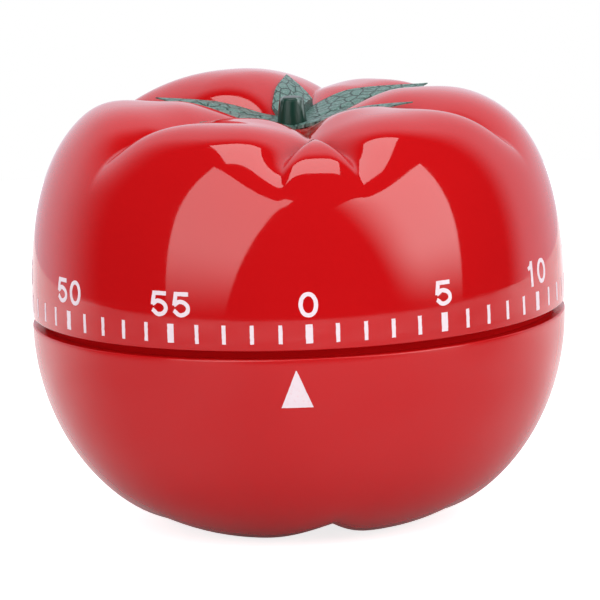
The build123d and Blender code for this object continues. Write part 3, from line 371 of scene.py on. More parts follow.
def pad_ink():
    """Pad printed white ink: thin, dull, a little pink where the red shows through."""
    tones = bpy.context.scene.timer_colours
    finish, tree = empty_finish("pad_printed_ink")
    place = add_node(tree, "TexCoord").outputs["Object"]
    speck = add_node(tree, "TexNoise", {"Vector": place, "Scale": per_mm(0.35), "Detail": 2.0})
    thin = add_node(tree, "MapRange", {0: speck, "From Min": 0.58, "From Max": 0.8, "To Max": 0.35})
    tone = add_node(tree, "Mix", {0: thin, MIX_A: tones.ink, MIX_B: tones.thin_ink}, data_type="RGBA")
    bump = add_node(tree, "Bump", {"Height": speck, "Strength": 0.15, "Distance": 0.02 * MM})
    looks = {"Base Color": tone.outputs[MIX_OUT], "Roughness": 0.5, "Normal": bump}
    add_node(tree, "OutputMaterial", {"Surface": add_node(tree, "BsdfPrincipled", looks)})
    return finish


def leaf_plastic():
    """Moulded green plastic with a cracked leaf grain, darker in the cracks, with pale spots on the plates
    that are rubbed wear and painted highlight.
    """
    tones = bpy.context.scene.timer_colours
    finish, tree = empty_finish("grained_green_plastic")
    run = add_node(tree, "UVMap", uv_map="leaf_run").outputs[0]
    # One UV unit is 10 mm, so the cracks wander over 1.1 mm, the plates between them are about 1.6 mm long
    # and 0.9 mm wide, and the pale spots, rubbed wear with painted highlight, are a quarter of a mm
    bent = add_node(tree, "TexNoise", {"Vector": run, "Scale": 9.0, "Detail": 2.0}).outputs["Color"]
    shift = add_node(tree, "MixRGB", {"Fac": 0.03, "Color1": run, "Color2": bent}, blend_type="ADD")
    long = add_node(tree, "Mapping", {"Vector": shift, "Scale": (0.55, 1.0, 1.0)})
    cells = add_node(
        tree,
        "TexVoronoi",
        {"Vector": long, "Scale": 11.0},
        voronoi_dimensions="2D",
        feature="DISTANCE_TO_EDGE",
    )
    plate = add_node(tree, "MapRange", {0: cells, "From Max": 0.12})
    fine = add_node(tree, "TexNoise", {"Vector": run, "Scale": 40.0, "Detail": 3.0})
    # Painted highlight with wear: pale spots on the raised bumps of the plates
    worn = add_node(tree, "MapRange", {0: fine, "From Min": 0.5, "From Max": 0.75, "To Max": 0.7})
    skin = add_node(tree, "Mix", {0: worn, MIX_A: tones.leaf, MIX_B: tones.worn}, data_type="RGBA")
    shades = {MIX_A: tones.vein, MIX_B: skin.outputs[MIX_OUT]}
    tone = add_node(tree, "Mix", {0: plate, **shades}, data_type="RGBA")
    height = add_node(tree, "Math", {0: plate, 1: fine}, operation="ADD")
    bump = add_node(tree, "Bump", {"Height": height, "Strength": 0.6, "Distance": 0.15 * MM})
    looks = {"Base Color": tone.outputs[MIX_OUT], "Roughness": 0.42, "IOR": 1.5, "Normal": bump}
    add_node(tree, "OutputMaterial", {"Surface": add_node(tree, "BsdfPrincipled", looks)})
    return finish


def stem_plastic():
    """The same green plastic on the stem, darker, with pale streaks along it that are rubbed wear and painted
    highlight.
    """
    tones = bpy.context.scene.timer_colours
    finish, tree = empty_finish("streaked_green_plastic")
    place = add_node(tree, "TexCoord").outputs["Object"]
    long = add_node(tree, "Mapping", {"Vector": place, "Scale": (per_mm(0.9), per_mm(0.9), per_mm(4.5))})
    streak = add_node(tree, "TexNoise", {"Vector": long, "Scale": 1.0, "Detail": 4.0})
    # Painted highlight with wear: pale streaks along the stem
    worn = add_node(tree, "MapRange", {0: streak, "From Min": 0.58, "From Max": 0.72, "To Max": 0.7})
    tone = add_node(tree, "Mix", {0: worn, MIX_A: tones.stem, MIX_B: tones.worn}, data_type="RGBA")
    bump = add_node(tree, "Bump", {"Height": streak, "Strength": 0.5, "Distance": 0.2 * MM})
    looks = {"Base Color": tone.outputs[MIX_OUT], "Roughness": 0.3, "IOR": 1.4, "Normal": bump}
    add_node(tree, "OutputMaterial", {"Surface": add_node(tree, "BsdfPrincipled", looks)})
    return finish


def worked_metal(name, tone, grain_mm, low, high):
    """Stamped, turned or rolled metal: fine lines of one spacing, and roughness between two values."""
    finish, tree = empty_finish(name)
    place = add_node(tree, "TexCoord").outputs["Object"]
    line_mm = 8
    scale = (per_mm(grain_mm), per_mm(line_mm), per_mm(grain_mm))
    flat = add_node(tree, "Mapping", {"Vector": place, "Scale": scale})
    lines = add_node(tree, "TexNoise", {"Vector": flat, "Scale": 1.0, "Detail": 4.0})
    # The lines are a fifth darker than the metal
    dull = [0.8 * part for part in tone[:3]] + [1.0]
    base = add_node(tree, "Mix", {0: lines, MIX_A: dull, MIX_B: list(tone)}, data_type="RGBA")
    spread = {"From Min": 0.3, "From Max": 0.7, "To Min": low, "To Max": high}
    haze = add_node(tree, "MapRange", {0: lines, **spread})
    bump = add_node(tree, "Bump", {"Height": lines, "Strength": 0.1, "Distance": 0.02 * MM})
    looks = {"Base Color": base.outputs[MIX_OUT], "Metallic": 1.0, "Roughness": haze, "Normal": bump}
    add_node(tree, "OutputMaterial", {"Surface": add_node(tree, "BsdfPrincipled", looks)})
    return finish


def smoothstep(low, high, value):
    """0 below low, 1 above high, smooth between."""
    part = min(1, max(0, (value - low) / (high - low)))
    return part * part * (3 - 2 * part)


def lobe_depth(azimuth, station, lobes):
    """How far, in mm, the lobes draw the surface in at an azimuth in degrees and a station of the outline."""
    # Powers of the lobes' sections: a high one keeps the crease narrow, and it falls along the crease
    crease_power, power_fall, sink_power = 4.5, 2.1, 1.5
    narrowest = 0.001
    for lobe, following in zip(lobes, lobes[1:] + lobes[:1]):
        start = lobe.low + (lobe.top - lobe.low) * station.slide
        end = following.low + (following.top - following.low) * station.slide
        span = (end - start) % 360
        offset = (azimuth - start) % 360
        if narrowest < span and offset <= span + narrowest:
            across = min(1, 2 * offset / span - 1)
            crease = station.crease * (lobe.depth if across < 0 else following.depth)
            middle = lobe.sunk * station.inner * smoothstep(lobe.sink_start, 90, station.angle) ** sink_power
            return middle + (crease - middle) * abs(across) ** (crease_power - power_fall * station.slide)
    raise ValueError(f"no lobe holds the azimuth {azimuth}")


def crown_radius(height):
    """Radius of the upper shell's side at a height, where no crease reaches."""
    sizes = bpy.context.scene.timer_housing
    wide = sizes.body_radius - sizes.upper_crest
    part = max(0, (height - sizes.skirt) / sizes.upper_height)
    return sizes.upper_crest + wide * (1 - part**UPPER_POWER) ** (1 / UPPER_POWER)


def bowl_radius(height):
    """Radius of the lower shell's side at a height, where no crease reaches."""
    sizes = bpy.context.scene.timer_housing
    wide = sizes.body_radius - sizes.lower_crest
    part = (sizes.rim - height) / (sizes.rim + sizes.foot_flat)
    return sizes.lower_crest + wide * (1 - part * part) ** 0.5


def upper_stations():
    """Outer line of the upper shell from skirt to axis."""
    sizes = bpy.context.scene.timer_housing
    side_steps, crater_steps = 44, 16
    # The steps are a little closer together at the skirt
    bunching = 1.15
    # Angles of the outline over which the creases deepen, and over which the slanting ones run together
    crease_start, crease_full = 33, 74
    slide_start, slide_end = 45, 88
    wide = sizes.body_radius - sizes.upper_crest
    line = []
    for step in range(1, side_steps + 1):
        angle = 90 * (step / side_steps) ** bunching
        radius = sizes.upper_crest + wide * max(0, cos(radians(angle))) ** (2 / UPPER_POWER)
        height = sizes.skirt + sizes.upper_height * sin(radians(angle)) ** (2 / UPPER_POWER)
        crease = smoothstep(crease_start, crease_full, angle)
        line.append(Station(radius, height, angle, crease, smoothstep(slide_start, slide_end, angle)))
    floor = sizes.skirt + sizes.upper_height - sizes.crater_depth
    for step in range(1, crater_steps + 1):
        inward = step / crater_steps
        radius = sizes.upper_crest + (HOLLOW_FLOOR - sizes.upper_crest) * inward
        height = floor + sizes.crater_depth * cos(pi / 2 * inward)
        share = 1 - inward**3
        line.append(Station(radius, height, 90, share, 1, share))
    line.append(Station(0.0, floor))
    return line


def lower_stations():
    """Outer line of the lower shell from rim to axis."""
    sizes = bpy.context.scene.timer_housing
    side_steps, dimple_steps = 40, 12
    # Angle of the outline where the creases start, and the share of their depth that they lose in the dimple
    crease_start, loss = 50, 0.8
    wide = sizes.body_radius - sizes.lower_crest
    drop = sizes.rim + sizes.foot_flat
    line = []
    for step in range(1, side_steps + 1):
        angle = 90 * step / side_steps
        radius = sizes.lower_crest + wide * cos(radians(angle))
        share = smoothstep(crease_start, 90, angle)
        line.append(Station(radius, sizes.rim - drop * sin(radians(angle)), angle, share, share))
    for step in range(1, dimple_steps + 1):
        inward = step / dimple_steps
        radius = sizes.lower_crest + (HOLLOW_FLOOR - sizes.lower_crest) * inward
        height = -sizes.foot_flat + sizes.dimple_depth * (1 - cos(pi * inward)) / 2
        line.append(Station(radius, height, 90, 1 - loss * inward, 1))
    line.append(Station(0.0, sizes.dimple_depth - sizes.foot_flat))
    return line


def mouth_points(level, inside, depth, way):
    """Points of a shell's mouth: its rounded edge and its rebate, which runs up (way 1) or down (way -1)."""
    sizes = bpy.context.scene.timer_housing
    steps = 4
    points = []
    for step in range(steps + 1):
        turn = pi / 2 * step / steps
        radius = sizes.body_radius - sizes.edge * (1 - cos(turn))
        points.append((radius, level + way * sizes.edge * (1 - sin(turn))))
    return points + [(inside, level), (inside, level + way * depth)]


def inward_normals(line, way):
    """Unit normals of a meridian line that point into the wall, as radius and height parts."""
    normals = []
    for index in range(len(line)):
        before = line[max(0, index - 1)]
        after = line[min(len(line) - 1, index + 1)]
        run = Vector((after.radius - before.radius, after.height - before.height)).normalized()
        normals.append(Vector((-run.y, run.x)) * way)
    normals[-1] = Vector((0, -way))
    return normals


def spun(outline, columns):
    """An outline of places in the front half plane, spun about the axis, and the layer of its numbers."""
    bm = bmesh.new()
    tag = bm.verts.layers.int.new("station")
    line = []
    for index, (radius, height) in enumerate(outline):
        vert = bm.verts.new((0, -radius, height))
        vert[tag] = index
        line.append(vert)
    for first, second in zip(line, line[1:]):
        bm.edges.new((first, second))
    # A sector is spun first and then repeated, which is quicker than one long spin
    sectors = 24
    turn = 2 * pi / sectors
    about = {"cent": (0, 0, 0), "axis": (0, 0, 1)}
    bmesh.ops.spin(bm, geom=bm.verts[:] + bm.edges[:], angle=turn, steps=columns // sectors, **about)
    sector = bm.verts[:] + bm.edges[:] + bm.faces[:]
    others = sectors - 1
    bmesh.ops.spin(bm, geom=sector, angle=turn * others, steps=others, use_duplicate=True, **about)
    bmesh.ops.remove_doubles(bm, verts=bm.verts, dist=MERGE)
    return bm, tag


def lobed_shell(line, mouth, lobes, way):
    """A hollow shell: outer line, mouth and inner wall, all drawn in along the creases."""
    sizes = bpy.context.scene.timer_housing
    # A mean over these turns, in degrees, rounds the foot of a crease
    blur = (-0.5, -0.2, 0.2, 0.5)
    # The inner wall starts this far past the mouth's rebate
    past = 0.3 * MM
    normals = inward_normals(line, way)
    outer = [Vector((station.radius, station.height)) for station in line]
    inner = [place + normal * sizes.wall for place, normal in zip(outer, normals)]
    inner[-1].x = 0
    deep = abs(mouth[-1][1] - mouth[0][1]) + past
    start = next(index for index, place in enumerate(inner) if abs(place.y - mouth[0][1]) > deep)
    places = outer[::-1] + [Vector(place) for place in mouth] + inner[start:]
    stations = line[::-1] + [Station(0, 0)] * len(mouth) + line[start:]
    pulls = normals[::-1] + [Vector((0, 0))] * len(mouth) + normals[start:]
    bm, tag = spun(places, sizes.columns)
    for vert in bm.verts:
        station = stations[vert[tag]]
        if station.crease == 0:
            continue
        azimuth = atan2(vert.co.x, -vert.co.y)
        depths = [lobe_depth(degrees(azimuth) + turn, station, lobes) for turn in blur]
        pull = pulls[vert[tag]] * sum(depths) / len(depths) * MM
        vert.co += Vector((pull.x * sin(azimuth), -pull.x * cos(azimuth), pull.y))
    bmesh.ops.remove_doubles(bm, verts=bm.verts, dist=MERGE)
    bmesh.ops.recalc_face_normals(bm, faces=bm.faces)
    return bm


def new_object(bm, name, finishes):
    """Makes a bmesh an object of the scene."""
    mesh = bpy.data.meshes.new(name)
    bm.to_mesh(mesh)
    bm.free()
    for finish in finishes:
        mesh.materials.append(finish)
    made = bpy.data.objects.new(name, mesh)
    bpy.context.scene.collection.objects.link(made)
    return made


def add_piece(bm, name, finishes, body, replaces=()):
    """Makes a bmesh a smooth shaded object that rides on a body."""
    sharp_from = radians(40)
    for face in bm.faces:
        face.smooth = True
    piece = new_object(bm, name, finishes)
    piece.data.set_sharp_from_angle(angle=sharp_from)
    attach(piece, body)
    if replaces:
        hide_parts(*replaces)


class TIMER_OT_upper_shell(bpy.types.Operator):
    """Models the glossy upper shell with its lobes and crater"""

    bl_idname = "timer.upper_shell"
    bl_label = "Upper shell"

    def execute(self, context):
        sizes = context.scene.timer_housing
        play, rebate = 0.25 * MM, 1.25 * MM
        mouth = mouth_points(sizes.skirt, sizes.lip_radius + play, rebate, 1)
        bm = lobed_shell(upper_stations(), mouth, UPPER_LOBES, 1)
        add_piece(bm, "upper_moulding", [glossy_abs()], "dial", ["upper_shell"])
        return {"FINISHED"}


class TIMER_OT_lower_shell(bpy.types.Operator):
    """Models the satin lower shell with its lobes and feet"""

    bl_idname = "timer.lower_shell"
    bl_label = "Lower shell"

    def execute(self, context):
        sizes = context.scene.timer_housing
        play, pocket = 0.05 * MM, 2.3 * MM
        mouth = mouth_points(sizes.rim, sizes.lip_radius + play, pocket, -1)
        bm = lobed_shell(lower_stations(), mouth, LOWER_LOBES, -1)
        # The lobes are cut flat where the timer stands
        for vert in bm.verts:
            vert.co.z = max(0, vert.co.z)
        satin = satin_abs("satin_red_abs", low=0.18, high=0.24, bend=1.54)
        add_piece(bm, "lower_moulding", [satin], "base", ["lower_shell"])
        return {"FINISHED"}


def leaf_half_width(distance, reach, width):
    """Half the width of a leaf of some reach at a distance from the axis, widest a third of the way out."""
    # The leaf widens from the axis and tapers to its tip, and scale brings its widest place to the width
    at_axis, widening, taper, scale = 0.55, 1.6, 1.25, 1.32
    part = min(1, distance / reach)
    return width / scale * (1 - part) ** taper * (at_axis + widening * part)


def leaf_spot(radius, turn, leaf):
    """Distances along a leaf and across it from its middle line, at a radius and a turn from its azimuth."""
    along = radius * cos(turn)
    return along, radius * sin(turn) - leaf.bend * MM * (along / (leaf.length * MM)) ** 2


def leaf_turn(azimuth, leaf):
    """Turn from a leaf to an azimuth in degrees, the short way round."""
    return (azimuth - leaf.azimuth + 180) % 360 - 180


def leaf_edge(azimuth):
    """Distance of the star's edge from the axis at an azimuth in degrees, and the leaf that it belongs to."""
    halvings, search = 24, 1.1
    nearest = min(LEAVES, key=lambda leaf: abs(leaf_turn(azimuth, leaf)))
    best = (bpy.context.scene.timer_calyx.hub, nearest)
    for leaf in LEAVES:
        turn = radians(leaf_turn(azimuth, leaf))
        if abs(turn) > pi / 2:
            continue
        low, high = 0.0, search * leaf.length * MM
        for _ in range(halvings):
            middle = (low + high) / 2
            along, across = leaf_spot(middle, turn, leaf)
            if abs(across) < leaf_half_width(along, leaf.length * MM, leaf.width * MM):
                low = middle
            else:
                high = middle
        if low > best[0]:
            best = (low, leaf)
    return best


def leaf_height(leaf, along, across, radius, part):
    """Height of a leaf's upper face over the stem's foot; part is the share of the way to the star's edge."""
    arch = 0.35
    # Shares of the leaf's length over which its lean sets in
    lean_start, lean_full = 0.2, 0.6
    droop, droop_start = 0.15 * MM, 0.75
    # The vein starts outside the stem and fades before the tip
    vein_depth, vein_half_width = 0.2 * MM, 0.5 * MM
    vein_start, vein_full = 2 * MM, 4 * MM
    fade_start, fade_end = 0.7, 0.95
    away = along / (leaf.length * MM)
    height = leaf.rise * MM * ((1 + arch) * away - arch * away**2)
    height += leaf.lean * across * smoothstep(lean_start, lean_full, away)
    height -= droop * smoothstep(droop_start, 1, part)
    vein = smoothstep(vein_start, vein_full, radius) * (1 - smoothstep(fade_start, fade_end, part))
    return height - vein_depth * (1 - smoothstep(0, vein_half_width, abs(across))) * vein


def leaf_star():
    """The leaves as one thin star, with a UV map that runs along each leaf."""
    sizes = bpy.context.scene.timer_calyx
    rows, columns = 26, 720
    # Units between the leaves on the UV map, so that no two show the same cracks
    leaf_gap = 3
    # Distances from the axis between which the leaves thin out
    thin_start, thin_end = 5 * MM, 12 * MM
    bm, tag = spun([(row / rows, 0.0) for row in range(rows + 1)], columns)
    run = bm.loops.layers.uv.new("leaf_run")
    # The disc still has a radius of one metre, so its doubles lie further apart
    bmesh.ops.remove_doubles(bm, verts=bm.verts, dist=20 * MERGE)
    spots = {}
    edges = {}
    for vert in bm.verts:
        azimuth = degrees(atan2(vert.co.x, -vert.co.y))
        column = round(azimuth * columns / 360)
        if column not in edges:
            edges[column] = leaf_edge(azimuth)
        reach, leaf = edges[column]
        part = vert[tag] / rows
        radius = part * reach
        along, across = leaf_spot(radius, radians(azimuth - leaf.azimuth), leaf)
        height = sizes.foot + leaf_height(leaf, along, across, radius, part)
        vert.co = Vector((radius * sin(radians(azimuth)), -radius * cos(radians(azimuth)), height))
        spots[vert] = (along / LEAF_UNIT, across / LEAF_UNIT + leaf_gap * LEAVES.index(leaf))
    for face in bm.faces:
        for loop in face.loops:
            loop[run].uv = spots[loop.vert]
    bmesh.ops.recalc_face_normals(bm, faces=bm.faces)
    below = bmesh.ops.extrude_face_region(bm, geom=bm.faces[:], use_keep_orig=True)
    for vert in below["geom"]:
        if isinstance(vert, bmesh.types.BMVert):
            thinned = smoothstep(thin_start, thin_end, Vector(vert.co.xy).length)
            vert.co.z -= sizes.thickness - (sizes.thickness - sizes.tip_thickness) * thinned
    bmesh.ops.recalc_face_normals(bm, faces=bm.faces)
    return bm


def add_stem(bm):
    """Adds the stub stem to the leaves, with the rounded edge of its top."""
    sizes = bpy.context.scene.timer_calyx
    tolerance = 0.01 * MM
    stem = bmesh.ops.create_cone(
        bm,
        cap_ends=True,
        segments=72,
        radius1=sizes.stem_base,
        radius2=sizes.stem_top,
        depth=sizes.stem_height + sizes.root,
    )
    middle = sizes.foot + (sizes.stem_height - sizes.root) / 2
    bmesh.ops.translate(bm, verts=stem["verts"], vec=(0, 0, middle))
    top = max(vert.co.z for vert in stem["verts"])
    crown = {vert for vert in stem["verts"] if vert.co.z > top - tolerance}
    bmesh.ops.bevel(
        bm,
        geom=[edge for edge in bm.edges if crown.issuperset(edge.verts)],
        offset=sizes.stem_round,
        segments=5,
        profile=0.5,
        affect="EDGES",
        offset_type="OFFSET",
        material=-1,
    )


class TIMER_OT_calyx(bpy.types.Operator):
    """Models the leaves and the stub stem"""

    bl_idname = "timer.calyx"
    bl_label = "Calyx"

    def execute(self, context):
        bm = leaf_star()
        leaf_faces = len(bm.faces)
        add_stem(bm)
        bm.faces.ensure_lookup_table()
        for face in bm.faces[leaf_faces:]:
            face.material_index = 1
        add_piece(bm, "calyx_moulding", [leaf_plastic(), stem_plastic()], "dial", ["calyx"])
        return {"FINISHED"}


def wrap(bm, azimuth, radius_at, lift):
    """Lays a flat shape round the housing: x runs round it from an azimuth, y is the height."""
    for vert in bm.verts:
        radius = radius_at(vert.co.y) + lift + vert.co.z
        turn = azimuth + vert.co.x / radius
        vert.co = Vector((radius * sin(turn), -radius * cos(turn), vert.co.y))


def join_into(target, part):
    """Adds one bmesh to another through a scratch mesh."""
    scratch = bpy.data.meshes.new("scratch")
    part.to_mesh(scratch)
    part.free()
    target.from_mesh(scratch)
    bpy.data.meshes.remove(scratch)


def ragged(bm, amount, number):
    """Moves the points of a flat print a little, as the ink creeps at its edge."""
    # The creep changes over a third of a mm, and each number has a place of its own in the noise
    per_metre = 3000
    apart_x, apart_y = 7.1, 3.3
    noise.seed_set(INK_SEED)
    for vert in bm.verts:
        push = noise.noise_vector(vert.co * per_metre + Vector((number * apart_x, number * apart_y, 0)))
        vert.co += Vector((push.x, push.y, 0)) * amount


def close_back(bm):
    """Closes a printed sheet with a back that lies as far inside the wall as its face stands over it."""
    depth = 2 * bpy.context.scene.timer_print.ink
    back = bmesh.ops.extrude_face_region(bm, geom=bm.faces[:], use_keep_orig=True)
    for vert in back["geom"]:
        if isinstance(vert, bmesh.types.BMVert):
            vert.co -= Vector((vert.co.x, vert.co.y, 0)).normalized() * depth
    bmesh.ops.recalc_face_normals(bm, faces=bm.faces)


def digit_mesh(digit):
    """One digit as flat ribbons, made from its strokes."""
    sizes = bpy.context.scene.timer_print
    profile = bpy.data.curves.new("ribbon_width", "CURVE")
    profile.splines.new("POLY").points.add(1)
    half = sizes.digit_stroke / 2
    profile.splines[0].points[0].co = (-half, 0, 0, 1)
    profile.splines[0].points[1].co = (half, 0, 0, 1)
    width = bpy.data.objects.new("ribbon_width", profile)
    curve = bpy.data.curves.new("digit", "CURVE")
    curve.dimensions = "3D"
    curve.twist_mode = "Z_UP"
    curve.bevel_mode = "OBJECT"
    curve.bevel_object = width
    curve.resolution_u = 10
    for closed, *places in DIGITS[digit]:
        spline = curve.splines.new("BEZIER")
        spline.use_cyclic_u = closed
        spline.bezier_points.add(len(places) - 1)
        for point, (x, y) in zip(spline.bezier_points, places):
            point.co = (x * sizes.digit_height, y * sizes.digit_height, 0)
            point.handle_left_type = point.handle_right_type = "AUTO"
    holder = bpy.data.objects.new("digit", curve)
    bpy.context.scene.collection.objects.link(holder)
    bpy.context.view_layer.update()
    shape = holder.evaluated_get(bpy.context.evaluated_depsgraph_get())
    mesh = bpy.data.meshes.new_from_object(shape)
    bpy.data.objects.remove(holder)
    bpy.data.objects.remove(width)
    return mesh


def minute_azimuth(minute):
    """Turn of a minute's mark from the front."""
    return bpy.context.scene.timer_print.zero + radians(MINUTE_TURN * minute)


class TIMER_OT_minute_scale(bpy.types.Operator):
    """Prints the minute strokes and the numbers round the skirt"""

    bl_idname = "timer.minute_scale"
    bl_label = "Minute scale"

    def execute(self, context):
        sizes = context.scene.timer_print
        ink = pad_ink()
        add_piece(self.strokes(sizes), "minute_strokes", [ink], "dial")
        add_piece(self.numbers(sizes), "minute_numbers", [ink], "dial")
        return {"FINISHED"}

    def strokes(self, sizes):
        """A stroke for each minute, wider at the numbers."""
        strokes = bmesh.new()
        for minute in range(MINUTES):
            bm = bmesh.new()
            bmesh.ops.create_grid(bm, x_segments=2, y_segments=8, size=0.5)
            width = sizes.stroke_width if minute % NUMBER_STEP else sizes.five_width
            bmesh.ops.scale(bm, verts=bm.verts, vec=(width, sizes.stroke_height, 1))
            ragged(bm, sizes.stroke_creep, minute)
            bmesh.ops.translate(bm, verts=bm.verts, vec=(0, sizes.stroke_level, 0))
            wrap(bm, minute_azimuth(minute), crown_radius, sizes.ink)
            join_into(strokes, bm)
        close_back(strokes)
        return strokes

    def numbers(self, sizes):
        """A number over every fifth stroke, each centred on it."""
        numbers = bmesh.new()
        shapes = {digit: digit_mesh(digit) for digit in DIGITS}
        for minute in range(0, MINUTES, NUMBER_STEP):
            text = str(minute)
            for index, digit in enumerate(text):
                bm = bmesh.new()
                bm.from_mesh(shapes[digit])
                ragged(bm, sizes.fine_creep, minute + index)
                shift = (index - (len(text) - 1) / 2) * sizes.digit_advance
                bmesh.ops.translate(bm, verts=bm.verts, vec=(shift, sizes.digit_level, 0))
                wrap(bm, minute_azimuth(minute), crown_radius, sizes.ink)
                join_into(numbers, bm)
        close_back(numbers)
        return numbers


class TIMER_OT_pointer(bpy.types.Operator):
    """Prints the pointer on the lower shell"""

    bl_idname = "timer.pointer"
    bl_label = "Pointer"

    def execute(self, context):
        sizes = context.scene.timer_print
        number = MINUTES + 1
        bm = bmesh.new()
        bmesh.ops.create_grid(bm, x_segments=12, y_segments=16, size=0.5)
        tall = sizes.pointer_apex - sizes.pointer_base
        for vert in bm.verts:
            taper = 0.5 - vert.co.y
            vert.co.x *= sizes.pointer_tip + (sizes.pointer_width - sizes.pointer_tip) * taper
            vert.co.y = sizes.pointer_base + tall * (vert.co.y + 0.5)
        ragged(bm, sizes.fine_creep, number)
        wrap(bm, sizes.pointer_turn, bowl_radius, sizes.ink)
        close_back(bm)
        add_piece(bm, "pointer_print", [pad_ink()], "base")
        return {"FINISHED"}


class TIMER_OT_movement(bpy.types.Operator):
    """Gives the movement, the bell and the deck their finishes"""

    bl_idname = "timer.movement"
    bl_label = "Movement finishes"

    def execute(self, context):
        tones = context.scene.timer_colours
        finishes = {
            "satin_red_plastic": satin_abs("dull_red_abs", low=0.5, high=0.6, bend=1.05),
            "brass": worked_metal("stamped_brass", tones.brass, grain_mm=0.15, low=0.25, high=0.4),
            "steel": worked_metal("turned_steel", tones.steel, grain_mm=0.1, low=0.22, high=0.38),
            "spring_steel": worked_metal(
                "blued_spring_steel", tones.blued, grain_mm=0.2, low=0.25, high=0.35
            ),
            "nickelled_steel": worked_metal(
                "nickel_plated_steel", tones.nickel, grain_mm=0.6, low=0.1, high=0.2
            ),
        }
        for part in frame["record"]["subparts"]:
            if part["material_slot"] in finishes:
                mesh = frame["nodes"][part["node"]].data
                mesh.materials.clear()
                mesh.materials.append(finishes[part["material_slot"]])
        return {"FINISHED"}


def add_lamp(name, power, place, across, tall, low_fade=NO_FADE, side_fade=NO_FADE):
    """A soft rectangular lamp, given by its middle and its two sides in metres, that shines on the timer.

    It grows to its full light over a part of its height from below and a part of its width from the front.
    """
    place, across, tall = Vector(place), Vector(across), Vector(tall)
    if across.cross(tall).dot(place) < 0:
        across = -across
    lamp = bpy.data.lights.new(name, "AREA")
    lamp.shape = "RECTANGLE"
    lamp.size, lamp.size_y = across.length, tall.length
    lamp.energy = power
    lamp.use_nodes = True
    tree = lamp.node_tree
    tree.nodes.clear()
    spot = add_node(tree, "SeparateXYZ", {0: add_node(tree, "NewGeometry").outputs["Parametric"]}).outputs
    smooth = {"interpolation_type": "SMOOTHSTEP"}
    rise = add_node(tree, "MapRange", {0: spot["Y"], "From Max": low_fade}, **smooth)
    spread = add_node(tree, "MapRange", {0: spot["X"], "From Max": side_fade}, **smooth)
    part = add_node(tree, "Math", {0: rise, 1: spread}, operation="MULTIPLY")
    glow = add_node(tree, "Emission", {"Strength": part})
    add_node(tree, "OutputLight", {"Surface": glow})
    away = across.cross(tall).normalized()
    side = across.normalized()
    holder = bpy.data.objects.new(name, lamp)
    turn = Matrix((side, away.cross(side), away)).transposed().to_4x4()
    holder.matrix_world = Matrix.Translation(place) @ turn
    bpy.context.scene.collection.objects.link(holder)


def seen_straight(tree):
    """Outputs of the light path, and a sum that is 1 where the camera looks straight or through glass."""
    path = add_node(tree, "LightPath").outputs
    rays = {0: path["Is Camera Ray"], 1: path["Is Transmission Ray"]}
    return path, add_node(tree, "Math", rays, operation="ADD")


